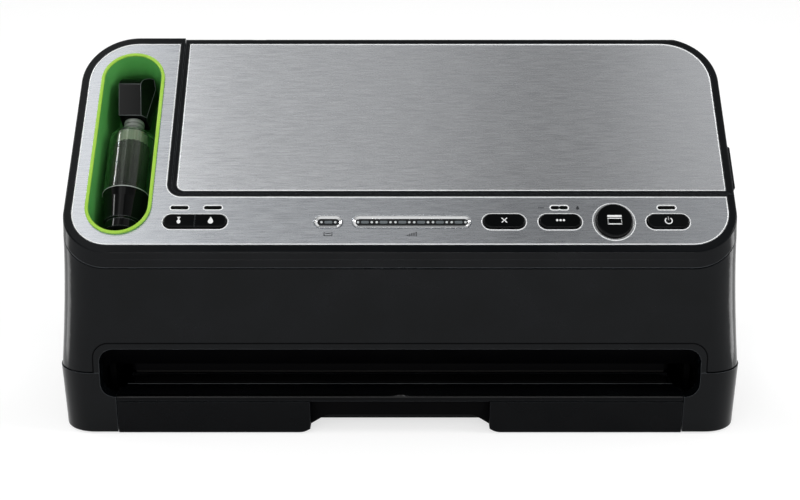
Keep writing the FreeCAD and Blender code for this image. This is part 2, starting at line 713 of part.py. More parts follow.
def light_xs():
    """Middle and length of each light bar; the food key has two short ones."""
    pair_offset = (PAIR_LENGTH + LIGHT_WIDTH) / 4
    food_offset = LIGHT_LENGTH / 4
    short = LIGHT_LENGTH / 2 - BUTTON_GAP
    bars = [(POWER_X, LIGHT_LENGTH)]
    for side in (-1, 1):
        bars.append((PAIR_X + side * pair_offset, LIGHT_LENGTH))
        bars.append((FOOD_X + side * food_offset, short))
    return bars


def control_wires(grow, z):
    """Outline of every hole in the control part at height z, made larger by grow all round."""
    pills = [(PAIR_X, CONTROL_ROW, PAIR_LENGTH, PAIR_WIDTH)]
    pills += [(x, CONTROL_ROW, PILL_LENGTH, PILL_WIDTH) for x in (CANCEL_X, FOOD_X, POWER_X)]
    pills += [(x, CONTROL_ROW, length, WINDOW_WIDTH) for x, length in window_places()]
    pills += [(x, LIGHT_ROW, length, LIGHT_WIDTH) for x, length in light_xs()]
    wires = [capsule(x, v, length + 2 * grow, width + 2 * grow, z) for x, v, length, width in pills]
    seal_hole = SEAL_RADIUS + BUTTON_GAP + SEAL_TRIM + grow
    wires.append(Part.Wire([Part.makeCircle(seal_hole, Vector(SEAL_X, CONTROL_ROW, z))]))
    return wires


def control_holes():
    """Prisms for every hole through the control plate and the cover skin."""
    return [slab(wire, 4 * COVER_THICKNESS) for wire in control_wires(0.0, -2 * COVER_THICKNESS)]


def control_sinks():
    """Bevels round the holes in the control plate."""
    low = control_wires(0.0, -PLATE_SINK - PLATE_BEVEL)
    high = control_wires(PLATE_BEVEL, -PLATE_SINK)
    return [Part.makeLoft(list(pair), True, True) for pair in zip(low, high)]


def pocket_outline(inset, z):
    length = POCKET_OPENING_LENGTH - 2 * inset
    return capsule(POCKET_X, POCKET_MIDDLE, POCKET_OPENING_WIDTH - 2 * inset, length, z)


def pocket_hole():
    return slab(pocket_outline(-POCKET_WALL - POCKET_FIT, -2 * COVER_THICKNESS), 4 * COVER_THICKNESS)


def board_posts():
    """Posts under the cover skin that carry the control board, in the gaps between the controls."""
    posts = []
    offset = BOARD_WIDTH / 2 - BOARD_POST_RADIUS
    progress_end = PROGRESS_X + PROGRESS_LENGTH / 2
    cancel_start = CANCEL_X - PILL_LENGTH / 2
    for x in ((PAIR_X + TRAY_WINDOW_X) / 2, (progress_end + cancel_start) / 2):
        for v in (CONTROL_ROW - offset, CONTROL_ROW + offset):
            posts.append(rod_z(BOARD_POST_RADIUS, x, v, -COVER_SKIN, -BOARD_DEPTH))
    return posts


def top_cover():
    cover = cap_form().cut(lid_region())
    recess = plate_slab(PLATE_FLOOR, COVER_THICKNESS, PLATE_GAP).cut(control_zone(PLATE_GAP))
    under = slab(cover_outline(COVER_THICKNESS, COVER_RIM, COVER_RIM), COVER_THICKNESS - COVER_SKIN)
    under = under.cut(lid_region(COVER_RIM))
    collar = slab(pocket_outline(-COVER_RIM, -COVER_THICKNESS), COVER_THICKNESS - COVER_SKIN)
    cover = cover.cut([recess, under.cut(collar)])
    cover = cover.fuse(board_posts())
    return on_panel(cover.cut(control_holes() + [pocket_hole()]))


def bevelled(plate, z):
    return plate.makeChamfer(PLATE_BEVEL, top_edges(plate, z))


def control_plate():
    plate = plate_slab(PLATE_FLOOR, PLATE_THICKNESS).cut(control_zone(0.0))
    plate = bevelled(plate.removeSplitter(), -PLATE_SINK)
    return on_panel(plate.cut(control_holes() + control_sinks() + [pocket_hole()]))


def lid_frame():
    lid = cap_form().common(lid_region(-LID_GAP))
    recess = plate_slab(PLATE_FLOOR, COVER_THICKNESS, PLATE_GAP).common(lid_zone(PLATE_GAP))
    under = slab(cover_outline(COVER_THICKNESS, LID_RIM, LID_RIM), COVER_THICKNESS - LID_SKIN)
    under = under.common(lid_region(-LID_GAP - LID_RIM))
    bead_front = HINGE_V - HINGE_RADIUS - KNUCKLE_GAP
    far = BASE_WIDTH
    under = under.common(block(-far, far, 0, bead_front, -COVER_THICKNESS, 0))
    lift = block(-far, far, 0, 2 * PANEL_LENGTH, -2 * COVER_THICKNESS, -LID_BOTTOM)
    bead = rod_x(HINGE_RADIUS, -far, far, HINGE_V, HINGE_W)
    behind = block(-far, far, HINGE_V, 2 * PANEL_LENGTH, -2 * COVER_THICKNESS, COVER_THICKNESS).cut(bead)
    tab_x = COVER_HALF + LID_TAB_PROUD
    tab_rear = LID_TAB_FRONT + LID_TAB_LENGTH
    tab_wire = outline(tab_x - 2 * RING_WIDTH, tab_x, LID_TAB_FRONT, tab_rear, LID_TAB_PROUD, -LID_BOTTOM)
    tab = slab(tab_wire, LID_BOTTOM - RING_ROUND)
    tab = tab.cut(block(0, COVER_HALF - LID_TAB_PROUD, 0, PANEL_LENGTH, -COVER_THICKNESS, 0))
    lid = lid.fuse(tab).cut([recess, under, lift, behind])
    cuts = []
    for x in KNUCKLE_XS:
        half = KNUCKLE_WIDTH / 2 + KNUCKLE_GAP
        x0 = x - half
        x1 = x + half
        reach = KNUCKLE_RADIUS + KNUCKLE_GAP
        notch_front = HINGE_V - reach - KNUCKLE_GAP
        cuts.append(block(x0, x1, notch_front, 2 * PANEL_LENGTH, -COVER_THICKNESS, HINGE_W + reach))
        cuts.append(block(x0, x1, HINGE_V + KNUCKLE_RADIUS, 2 * PANEL_LENGTH, -COVER_THICKNESS, RING_WIDTH))
        bore = HINGE_PIN_RADIUS + HINGE_RUNNING
        cuts.append(rod_x(bore, x0 - HINGE_PIN_GRIP, x1 + HINGE_PIN_GRIP, HINGE_V, HINGE_W))
    return on_panel(lid.cut(cuts))


def lid_plate():
    plate = plate_slab(PLATE_FLOOR, PLATE_THICKNESS).common(lid_zone(0.0))
    return on_panel(bevelled(plate.removeSplitter(), -PLATE_SINK))


def lid_hinge_pins():
    reach = KNUCKLE_WIDTH / 2 + HINGE_PIN_GRIP
    pins = [rod_x(HINGE_PIN_RADIUS, x - reach, x + reach, HINGE_V, HINGE_W) for x in KNUCKLE_XS]
    return on_panel(Part.makeCompound(pins))


# Roll compartment

def bin_wire(grow, x):
    """U section of the roll trough in the slope's own frame."""
    radius = BIN_RADIUS + grow
    top = -COVER_THICKNESS
    low = top - BIN_STRAIGHT
    left = Vector(x, BIN_MIDDLE - radius, low)
    right = Vector(x, BIN_MIDDLE + radius, low)
    return Part.Wire([
        line(Vector(x, BIN_MIDDLE - radius, top), left),
        Part.Arc(left, Vector(x, BIN_MIDDLE, low - radius), right).toShape(),
        line(right, Vector(x, BIN_MIDDLE + radius, top)),
        line(Vector(x, BIN_MIDDLE + radius, top), Vector(x, BIN_MIDDLE - radius, top)),
    ])


def roll_bin():
    deck = slab(cover_outline(COVER_THICKNESS + DECK_THICKNESS, WALL + DECK_GAP, 0), DECK_THICKNESS)
    deck = deck.common(lid_region(DECK_OVERLAP))
    span = BIN_RIGHT - BIN_LEFT
    trough = Part.Face(bin_wire(BIN_WALL, BIN_LEFT - BIN_WALL)).extrude(Vector(span + 2 * BIN_WALL, 0, 0))
    hollow = Part.Face(bin_wire(0.0, BIN_LEFT)).extrude(Vector(span, 0, 0))
    body = deck.fuse(trough)
    bores = []
    for x in KNUCKLE_XS:
        x0 = x - KNUCKLE_WIDTH / 2
        x1 = x + KNUCKLE_WIDTH / 2
        knuckle = rod_x(KNUCKLE_RADIUS, x0, x1, HINGE_V, HINGE_W)
        stem_rear = HINGE_V - KNUCKLE_SETBACK
        stem = block(x0, x1, HINGE_V - KNUCKLE_RADIUS, stem_rear, -COVER_THICKNESS, HINGE_W)
        body = body.fuse([knuckle, stem])
        bores.append(rod_x(HINGE_PIN_RADIUS, x0, x1, HINGE_V, HINGE_W))
    return on_panel(body.cut([hollow] + bores))


def cutter_rail():
    top = -COVER_THICKNESS + RAIL_HEIGHT
    rail = block(BIN_LEFT, BIN_RIGHT, RAIL_FRONT, RAIL_FRONT + RAIL_WIDTH, -COVER_THICKNESS, top)
    near = RAIL_FRONT + (RAIL_WIDTH - RAIL_SLOT) / 2
    slot = block(BIN_LEFT + RAIL_SLOT, BIN_RIGHT - RAIL_SLOT, near, near + RAIL_SLOT, -COVER_THICKNESS, 0)
    return on_panel(rail.cut(slot))


def cutter_carriage():
    x = CARRIAGE_X
    low = -COVER_THICKNESS + RAIL_HEIGHT + CARRIAGE_GAP
    half = CARRIAGE_LENGTH / 2
    cap_wire = outline(x - half, x + half, RAIL_FRONT, RAIL_FRONT + RAIL_WIDTH, RAIL_SLOT, low)
    cap = slab(cap_wire, CARRIAGE_HEIGHT)
    cap = cap.makeFillet(CARRIAGE_HEIGHT / 3, top_edges(cap, low + CARRIAGE_HEIGHT))
    middle = RAIL_FRONT + RAIL_WIDTH / 2
    half_key = RAIL_SLOT / 2 - CARRIAGE_GAP
    key = block(x - half + RAIL_SLOT, x + half - RAIL_SLOT, middle - half_key, middle + half_key,
                -COVER_THICKNESS + CARRIAGE_GAP, low)
    slit = block(x - RAIL_SLOT, x + RAIL_SLOT, middle - BLADE_THICKNESS / 2, middle + BLADE_THICKNESS / 2,
                 -COVER_THICKNESS, low)
    return on_panel(cap.fuse(key).cut(slit))


def cutter_blade():
    x = CARRIAGE_X
    near = RAIL_FRONT + RAIL_WIDTH / 2 - BLADE_THICKNESS / 2
    low = -COVER_THICKNESS + CARRIAGE_GAP
    top = -COVER_THICKNESS + RAIL_HEIGHT + CARRIAGE_GAP
    points = [Vector(x - RAIL_SLOT, near, top), Vector(x, near, low), Vector(x + RAIL_SLOT, near, top)]
    wire = Part.makePolygon(points + points[:1])
    return on_panel(Part.Face(wire).extrude(Vector(0, BLADE_THICKNESS, 0)))


# Controls

def key_cap(wire_at, rise):
    """Key with a rounded top and a retaining flange under the cover skin; wire_at(grow, z) draws it."""
    body = slab(wire_at(-BUTTON_GAP, -BUTTON_BOTTOM), BUTTON_BOTTOM + rise)
    body = body.makeFillet(BUTTON_ROUND, top_edges(body, rise))
    flange = slab(wire_at(BUTTON_FLANGE, -BUTTON_BOTTOM), BUTTON_FLANGE_DEPTH)
    return body.fuse(flange)


def pill_button(x):
    def wire_at(grow, z):
        return capsule(x, CONTROL_ROW, PILL_LENGTH + 2 * grow, PILL_WIDTH + 2 * grow, z)

    return on_panel(key_cap(wire_at, BUTTON_RISE))


def seal_button():
    def wire_at(grow, z):
        radius = SEAL_RADIUS + BUTTON_GAP + grow
        return Part.Wire([Part.makeCircle(radius, Vector(SEAL_X, CONTROL_ROW, z))])

    return on_panel(key_cap(wire_at, SEAL_RISE))


def pair_button(side):
    """One half of the split two-way key: side is -1 for the left half and 1 for the right."""
    def wire_at(grow, z):
        return capsule(PAIR_X, CONTROL_ROW, PAIR_LENGTH + 2 * grow, PAIR_WIDTH + 2 * grow, z)

    reach = sorted((PAIR_X + side * BUTTON_GAP / 2, PAIR_X + side * PAIR_LENGTH))
    half = block(reach[0], reach[1], 0, LID_FRONT, -COVER_THICKNESS, COVER_THICKNESS)
    return on_panel(key_cap(wire_at, BUTTON_RISE).common(half))


def seal_trim_ring():
    outer = SEAL_RADIUS + BUTTON_GAP + SEAL_TRIM
    inner = SEAL_RADIUS + BUTTON_GAP
    place = Vector(SEAL_X, CONTROL_ROW, -COVER_SKIN)
    ring = Part.makeCylinder(outer, COVER_SKIN, place).cut(Part.makeCylinder(inner, COVER_SKIN, place))
    return on_panel(ring)


def window_places():
    return ((TRAY_WINDOW_X, TRAY_WINDOW_LENGTH), (PROGRESS_X, PROGRESS_LENGTH))


def window_frames():
    """Frames flush with the panel; each has a narrow lip and a face that slopes down to its lens."""
    frames = []
    for x, length in window_places():
        def wire_at(inset, z):
            return capsule(x, CONTROL_ROW, length - 2 * inset, WINDOW_WIDTH - 2 * inset, z)

        inner = slab(wire_at(WINDOW_FRAME, -COVER_SKIN), COVER_SKIN)
        dish = Part.makeLoft([wire_at(WINDOW_FRAME, -WINDOW_SINK), wire_at(WINDOW_LIP, 0.0)], True, True)
        frames.append(slab(wire_at(0.0, -COVER_SKIN), COVER_SKIN).cut([inner, dish]))
    return on_panel(Part.makeCompound(frames))


def window_lens(x, length, cells):
    """Lens inside a window frame, with grooves between its lit cells."""
    clear_length = length - 2 * WINDOW_FRAME
    clear_width = WINDOW_WIDTH - 2 * WINDOW_FRAME
    lens = slab(capsule(x, CONTROL_ROW, clear_length, clear_width, -COVER_SKIN), COVER_SKIN - WINDOW_SINK)
    pitch = clear_length / cells
    grooves = []
    near = CONTROL_ROW - WINDOW_WIDTH
    far = CONTROL_ROW + WINDOW_WIDTH
    for index in range(1, cells):
        x0 = x - clear_length / 2 + index * pitch - WINDOW_GROOVE / 2
        grooves.append(block(x0, x0 + WINDOW_GROOVE, near, far, -WINDOW_SINK - WINDOW_GROOVE, 0))
    return on_panel(lens.cut(grooves))


def indicator_lights():
    lights = [slab(capsule(x, LIGHT_ROW, length, LIGHT_WIDTH, -COVER_SKIN), COVER_SKIN - PLATE_SINK)
              for x, length in light_xs()]
    return on_panel(Part.makeCompound(lights))


def control_board():
    left = PAIR_X - PAIR_LENGTH / 2 - BOARD_MARGIN
    right = POWER_X + PILL_LENGTH / 2 + BOARD_MARGIN
    low = CONTROL_ROW - BOARD_WIDTH / 2
    wire = outline(left, right, low, low + BOARD_WIDTH, BOARD_POST_RADIUS, -BOARD_DEPTH - BOARD_THICKNESS)
    return on_panel(slab(wire, BOARD_THICKNESS))


def key_switches():
    """One key switch under every key; each plunger ends a small gap below the pressed key."""
    top = -BUTTON_BOTTOM - BUTTON_TRAVEL - SWITCH_GAP
    half = SWITCH_SIZE / 2
    switches = []
    for x in (PAIR_X - PAIR_LENGTH / 4, PAIR_X + PAIR_LENGTH / 4, CANCEL_X, FOOD_X, SEAL_X, POWER_X):
        body = block(x - half, x + half, CONTROL_ROW - half, CONTROL_ROW + half, -BOARD_DEPTH,
                     -BOARD_DEPTH + SWITCH_BODY)
        plunger = rod(SWITCH_PLUNGER, Vector(x, CONTROL_ROW, -BOARD_DEPTH), Vector(x, CONTROL_ROW, top))
        switches.append(body.fuse(plunger))
    return on_panel(Part.makeCompound(switches))


# Pocket and handheld sealer

def accessory_pocket():
    bottom = -POCKET_DEPTH
    outer_low = pocket_outline(POCKET_DRAW - POCKET_WALL, bottom - POCKET_WALL)
    outer_top = pocket_outline(-POCKET_WALL, -PLATE_SINK)
    inner_low = pocket_outline(POCKET_DRAW, bottom)
    inner_top = pocket_outline(0.0, -PLATE_SINK + POCKET_FLANGE)
    outer = Part.makeLoft([outer_low, outer_top], True, True)
    inner = Part.makeLoft([inner_low, inner_top], True, True)
    flange = slab(capsule(POCKET_X, POCKET_MIDDLE, POCKET_WIDTH, POCKET_LENGTH, -PLATE_SINK), POCKET_FLANGE)
    cradle_radius = CUP_RADIUS + SADDLE_GAP
    saddle_top = -HAND_DEPTH - cradle_radius / 3
    x0 = POCKET_X - POCKET_OPENING_WIDTH / 2
    x1 = POCKET_X + POCKET_OPENING_WIDTH / 2
    saddles = []
    for v in (TANK_START + SADDLE_THICKNESS, NECK_START - TANK_SHOULDER - 2 * SADDLE_THICKNESS):
        rib = block(x0, x1, v, v + SADDLE_THICKNESS, bottom, saddle_top)
        saddles.append(rib.common(inner))
    tub = outer.fuse(flange).cut(inner).fuse(saddles)
    cradle = rod_y(cradle_radius, POCKET_X, TANK_START, NECK_START, -HAND_DEPTH)
    hole_low = bottom - 2 * POCKET_WALL
    hose_hole = rod_z(HOSE_RADIUS + HOSE_GAP, POCKET_X, HOSE_V, hole_low, bottom + POCKET_WALL)
    return on_panel(tub.cut([cradle, hose_hole]))


def pocket_rim():
    low = -PLATE_SINK + POCKET_FLANGE
    rim = slab(capsule(POCKET_X, POCKET_MIDDLE, POCKET_WIDTH, POCKET_LENGTH, low), POCKET_RIM_HEIGHT)
    rim = rim.cut(slab(pocket_outline(0.0, low), POCKET_RIM_HEIGHT))
    return on_panel(rim.makeFillet(POCKET_RIM_HEIGHT / 2, top_edges(rim, low + POCKET_RIM_HEIGHT)))


def handheld_cup():
    end = HAND_END
    top = TANK_START
    foot = CUP_FOOT_RADIUS
    collar = end + CUP_FOOT_LENGTH
    profile = [(0, end), (foot, end), (foot, collar), (foot + TANK_WALL, collar + TANK_WALL),
               (CUP_RADIUS - TANK_WALL, top - CUP_FOOT_LENGTH), (CUP_RADIUS, top), (0, top)]
    bore = foot - SUCTION_RING_WIDTH
    socket = [(0, end), (bore, end), (bore, collar), (0, collar)]
    return on_panel(turned(profile, POCKET_X, HAND_DEPTH).cut(turned(socket, POCKET_X, HAND_DEPTH)))


def suction_ring():
    outer = CUP_FOOT_RADIUS
    inner = outer - SUCTION_RING_WIDTH
    low = HAND_END - SUCTION_RING_LENGTH
    profile = [(inner, low), (outer - SUCTION_RING_LENGTH / 2, low), (outer, low + SUCTION_RING_LENGTH / 2),
               (outer, HAND_END), (inner, HAND_END)]
    return on_panel(turned(profile, POCKET_X, HAND_DEPTH))


def tank_profile(inset):
    """Half section of the reservoir: straight side, round shoulder and neck."""
    middle = NECK_START - TANK_SHOULDER
    turn = TANK_SHOULDER - inset
    neck = NECK_RADIUS - inset
    points = [(0, TANK_START), (CUP_RADIUS - inset, TANK_START)]
    for step in range(SHOULDER_STEPS + 1):
        angle = math.radians(90.0 * step / SHOULDER_STEPS)
        radius = CUP_RADIUS - TANK_SHOULDER + turn * math.cos(angle)
        points.append((radius, middle + turn * math.sin(angle)))
    return points + [(neck, middle + turn), (neck, HEAD_START), (0, HEAD_START)]


def handheld_reservoir():
    outer = turned(tank_profile(0.0), POCKET_X, HAND_DEPTH)
    tank = outer.cut(turned(tank_profile(TANK_WALL), POCKET_X, HAND_DEPTH))
    for place in (NECK_START + NECK_LENGTH / 4, NECK_START + 3 * NECK_LENGTH / 4):
        half = TANK_WALL / 2
        near = place - half
        far = place + half
        inner = NECK_RADIUS - half
        ridge = NECK_RADIUS + half
        ring = [(inner, near), (ridge, near), (ridge, far), (inner, far)]
        tank = tank.fuse(turned(ring, POCKET_X, HAND_DEPTH))
    return on_panel(tank)


def handheld_filter():
    """Filter tube with a wide cap under the neck."""
    cap_top = NECK_START - FILTER_CAP_GAP
    cap_low = cap_top - FILTER_CAP_LENGTH
    spout = NECK_RADIUS - 2 * TANK_WALL
    profile = [(0, TANK_START), (FILTER_RADIUS, TANK_START), (FILTER_RADIUS - TANK_WALL, cap_low),
               (FILTER_CAP_RADIUS, cap_low), (FILTER_CAP_RADIUS, cap_top), (spout, cap_top),
               (spout, NECK_START), (0, NECK_START)]
    return on_panel(turned(profile, POCKET_X, HAND_DEPTH))


def handheld_head():
    """Elbow that turns from the reservoir down to the hose, widest at its knee, with a facet on its right."""
    top = -HAND_DEPTH + HEAD_RISE
    low = -HAND_DEPTH - HEAD_DROP
    chin = -HAND_DEPTH - HEAD_RISE
    left = POCKET_X - HEAD_HALF_WIDTH
    knee = Vector(left, HEAD_END - HEAD_BEND, top)
    heel = Vector(left, HEAD_END, top - HEAD_BEND)
    inside = HEAD_BEND * (1.0 - math.sqrt(0.5))
    middle = Vector(left, HEAD_END - inside, top - inside)
    crotch = Vector(left, HEAD_END - 2 * HEAD_BEND, chin)
    under = Vector(left, HEAD_END - 2 * HEAD_BEND, low)
    start_low = Vector(left, HEAD_START, chin)
    start_top = Vector(left, HEAD_START, top)
    toe = Vector(left, HEAD_END, low)
    corners = [heel, toe, under, crotch, start_low, start_top, knee]
    sides = [line(start, end) for start, end in zip(corners, corners[1:])]
    wire = Part.Wire(sides + [Part.Arc(knee, middle, heel).toShape()])
    body = Part.Face(wire).extrude(Vector(2 * HEAD_HALF_WIDTH, 0, 0))
    shoulder = HEAD_END - HEAD_CROWN
    plan = [(HEAD_FOOT_HALF, HEAD_START), (HEAD_HALF_WIDTH, shoulder), (HEAD_CROWN_HALF, HEAD_END)]
    plan += [(-x, v) for x, v in reversed(plan)]
    plan_wire = Part.makePolygon([Vector(POCKET_X + x, v, low) for x, v in plan + plan[:1]])
    body = body.common(slab(plan_wire, top - low))
    run = (HEAD_FACET_START - HEAD_FACET_END) / HEAD_LENGTH
    reach = HEAD_RISE + HEAD_DROP
    facet = block(0, 2 * reach, 0, 2 * PANEL_LENGTH, 0, 2 * reach)
    facet_edge = Vector(POCKET_X + HEAD_FACET_END + run * HEAD_END, 0, top)
    turn = Rotation(Vector(0, 0, 1), math.degrees(math.atan(run)))
    facet.Placement = Placement(facet_edge, turn.multiply(Rotation(Vector(0, 1, 0), HEAD_FACET_ANGLE)))
    plug_start = HEAD_START - NECK_LENGTH / 2
    plug = rod_y(NECK_RADIUS - TANK_WALL, POCKET_X, plug_start, HEAD_START, -HAND_DEPTH)
    return on_panel(body.cut(facet).fuse(plug))


def handheld_hose():
    return on_panel(rod_z(HOSE_RADIUS, POCKET_X, HOSE_V, -HOSE_TOP, -HOSE_END))


# Hose reel

def reel_centre():
    """Reel axis: the hose tail leaves the wound hose on a tangent."""
    return PANEL.multVec(Vector(POCKET_X, REEL_V, -HOSE_END))


def reel_rod(radius, x0, x1):
    centre = reel_centre()
    return rod_x(radius, x0, x1, centre.y, centre.z)


def hose_reel():
    x0 = POCKET_X - REEL_WIDTH / 2
    x1 = POCKET_X + REEL_WIDTH / 2
    near_flange = reel_rod(COIL_RADIUS, x0, x0 + REEL_FLANGE)
    far_flange = reel_rod(COIL_RADIUS, x1 - REEL_FLANGE, x1)
    reel = reel_rod(REEL_DRUM_RADIUS, x0, x1).fuse([near_flange, far_flange])
    return reel.cut(reel_rod(REEL_AXLE_RADIUS + REEL_RUNNING, x0, x1))


def wound_hose():
    x0 = POCKET_X - REEL_WIDTH / 2 + REEL_FLANGE
    x1 = POCKET_X + REEL_WIDTH / 2 - REEL_FLANGE
    return reel_rod(COIL_RADIUS, x0, x1).cut(reel_rod(REEL_DRUM_RADIUS, x0, x1))


def reel_axle():
    reach = REEL_HALF_SPAN + REEL_BRACKET
    return reel_rod(REEL_AXLE_RADIUS, POCKET_X - reach, POCKET_X + reach)


def reel_bracket():
    """Two upright cheeks on the base floor, tied by a foot plate."""
    centre = reel_centre()
    half = REEL_BRACKET_HALF
    inner = REEL_HALF_SPAN
    pieces = []
    for x0 in (POCKET_X - inner - REEL_BRACKET, POCKET_X + inner):
        x1 = x0 + REEL_BRACKET
        cheek = block(x0, x1, centre.y - half, centre.y + half, FLOOR_TOP, centre.z)
        pieces.append(cheek.fuse(reel_rod(half, x0, x1)))
    plate = block(POCKET_X - inner, POCKET_X + inner, centre.y - half, centre.y + half, FLOOR_TOP,
                  FLOOR_TOP + REEL_BRACKET)
    return pieces[0].fuse([pieces[1], plate]).cut(reel_axle())


# Bag slot and drip tray

def slot_throat():
    """Funnel behind the slot frame that guides a bag to the jaw."""
    y0 = FRAME_BACK
    y1 = JAW_FRONT_Y - THROAT_GAP
    neck = JAW_BOTTOM + THROAT_LIP

    def ring(grow, y, top):
        half = MOUTH_HALF + grow
        wire = outline(-half, half, MOUTH_BOTTOM - grow, top + grow, MOUTH_CORNER / 2)
        wire.Placement = Placement(Vector(0, y, 0), Rotation(Vector(1, 0, 0), 90)).multiply(wire.Placement)
        return wire

    outer = Part.makeLoft([ring(THROAT_WALL, y0, MOUTH_TOP), ring(THROAT_WALL, y1, neck)], True, True)
    inner = Part.makeLoft([ring(0.0, y0, MOUTH_TOP), ring(0.0, y1, neck)], True, True)
    far = BASE_WIDTH
    below = block(-far, far, 2 * FRONT_Y, 0, 0, TRAY_TOP + TRAY_SIDE_GAP)
    return outer.cut([inner, below])


def soft_wire(points, radii):
    """Closed X-Y polygon with an arc of the given radius at each corner; a radius of 0 keeps it sharp."""
    spots = [Vector(x, y, 0) for x, y in points]
    starts = []
    ends = []
    arcs = []
    for index, corner in enumerate(spots):
        back = (spots[index - 1] - corner).normalize()
        ahead = (spots[(index + 1) % len(spots)] - corner).normalize()
        half = back.getAngle(ahead) / 2
        radius = radii[index]
        starts.append(corner + back * (radius / math.tan(half)))
        ends.append(corner + ahead * (radius / math.tan(half)))
        if radius > 0:
            crown = corner + (back + ahead).normalize() * (radius / math.sin(half) - radius)
            arcs.append(Part.Arc(starts[index], crown, ends[index]).toShape())
    sides = [line(ends[index - 1], starts[index]) for index in range(len(spots))]
    return Part.Wire(Part.__sortEdges__(sides + arcs))


def grip_outline():
    """Finger notch under the tray front: a flat top, and two slanting ends with rounded corners."""
    flat = GRIP_FLAT_HALF
    foot = GRIP_FOOT_HALF
    edge = foot + GRIP_ROUND
    points = [(flat, GRIP_BOTTOM), (foot, FOOT_HEIGHT), (edge, FOOT_HEIGHT), (edge, 0)]
    points += [(-x, z) for x, z in reversed(points)]
    radii = [GRIP_ROUND, GRIP_ROUND, 0, 0, 0, 0, GRIP_ROUND, GRIP_ROUND]
    return soft_wire(points, radii)


def drip_tray():
    """Pull-out tray: rounded front lip, sealing trough behind it and a finger notch underneath."""
    front_back = FRONT_Y + TRAY_FRONT
    front = base_form().common(block(-TRAY_HALF, TRAY_HALF, 2 * FRONT_Y, front_back, 0, TRAY_TOP))
    nose = [e for e in top_edges(front, TRAY_TOP) if e.BoundBox.YMax < front_back - TRAY_WALL]
    front = front.makeFillet(LIP_ROUND, [e for e in nose if e.Length > TRAY_HALF])
    back = block(-TRAY_BACK_HALF, TRAY_BACK_HALF, front_back, TRAY_REAR_Y, TRAY_UNDERSIDE, TRAY_TOP)
    corner = 2 * TRAY_WALL
    trough_floor = TRAY_UNDERSIDE + TRAY_WALL
    trough_wire = outline(-TROUGH_HALF, TROUGH_HALF, TROUGH_FRONT_Y, TROUGH_REAR_Y, corner, trough_floor)
    trough = slab(trough_wire, TRAY_TOP)
    bed_end = TROUGH_FRONT_Y - corner
    bed = block(-TRAY_HALF, TRAY_HALF, FRONT_Y + LIP_DEPTH, bed_end, TRAY_TOP - LIP_STEP, TRAY_TOP)
    groove_end = FRONT_Y + BASE_TAPER + TRAY_GROOVE
    groove_top = TRAY_GROOVE_Z + TRAY_GROOVE
    groove = block(-TRAY_HALF, TRAY_HALF, 2 * FRONT_Y, groove_end, TRAY_GROOVE_Z, groove_top)
    grip = block(-GRIP_HALF, GRIP_HALF, 2 * FRONT_Y, FRONT_Y + GRIP_DEPTH, 0, TRAY_GROOVE_Z)
    notch = front_slab(grip_outline(), 2 * FRONT_Y, front_back)
    return front.fuse(back).cut([trough, bed, groove, grip, notch])


def counter_pad():
    half = HEATER_HALF + PAD_MARGIN
    y0 = HEATER_Y - PAD_MARGIN
    y1 = HEATER_Y + HEATER_WIDTH + PAD_MARGIN
    return block(-half, half, y0, y1, TRAY_TOP - LIP_STEP, TRAY_TOP)


# Clamp

def upper_jaw():
    """Jaw bar with two scotch yokes that ride on the camshaft's cams."""
    y0 = JAW_FRONT_Y
    y1 = JAW_REAR_Y
    skin = JAW_SKIN
    inner = JAW_HALF - skin
    bar = slab(outline(-JAW_HALF, JAW_HALF, y0, y1, skin, JAW_BOTTOM), JAW_HEIGHT)
    pocket = outline(-inner, inner, y0 + skin, y1 - skin, skin / 2, JAW_BOTTOM + skin)
    bar = bar.cut(slab(pocket, JAW_HEIGHT))
    half_slot = CAM_RADIUS + CAM_GAP
    reach = CAM_THROW + CAM_RADIUS + 2 * CAM_GAP
    middle = SHAFT_Z + CAM_REST_Z
    for side in (-1, 1):
        x0 = side * YOKE_X - YOKE_THICKNESS / 2
        x1 = x0 + YOKE_THICKNESS
        plate_half = reach + YOKE_RIM
        plate_top = middle + half_slot + YOKE_RIM
        plate = block(x0, x1, SHAFT_Y - plate_half, SHAFT_Y + plate_half, JAW_BOTTOM, plate_top)
        web = block(x0, x1, y0, y1, JAW_BOTTOM, JAW_TOP)
        slot = block(x0, x1, SHAFT_Y - reach, SHAFT_Y + reach, middle - half_slot, middle + half_slot)
        bar = bar.fuse([plate, web]).cut(slot)
    return bar


def jaw_gasket():
    """Closed ring under the jaw that meets the tray round its trough."""
    def ring(grow):
        half = TROUGH_HALF + GASKET_OFFSET + grow
        y0 = TROUGH_FRONT_Y - GASKET_OFFSET - grow
        y1 = TROUGH_REAR_Y + GASKET_OFFSET + grow
        wire = outline(-half, half, y0, y1, GASKET_WIDTH + grow, JAW_BOTTOM - GASKET_HEIGHT)
        return slab(wire, GASKET_HEIGHT)

    return ring(GASKET_WIDTH).cut(ring(0.0))


def heater_bar():
    low = JAW_BOTTOM - HEATER_HEIGHT
    return block(-HEATER_HALF, HEATER_HALF, HEATER_Y, HEATER_Y + HEATER_WIDTH, low, JAW_BOTTOM)


def heater_tape():
    top = JAW_BOTTOM - HEATER_HEIGHT
    return block(-HEATER_HALF, HEATER_HALF, HEATER_Y, HEATER_Y + HEATER_WIDTH, top - TAPE_THICKNESS, top)


def shaft_rod(radius, x0, x1):
    return rod_x(radius, x0, x1, SHAFT_Y, SHAFT_Z)


def camshaft():
    reach = BRACKET_X + BRACKET_THICKNESS
    shaft = shaft_rod(SHAFT_RADIUS, -reach, reach)
    for side in (-1, 1):
        x0 = side * YOKE_X - CAM_WIDTH / 2
        cam = rod_x(CAM_RADIUS, x0, x0 + CAM_WIDTH, SHAFT_Y + CAM_REST_Y, SHAFT_Z + CAM_REST_Z)
        shaft = shaft.fuse(cam)
    return shaft


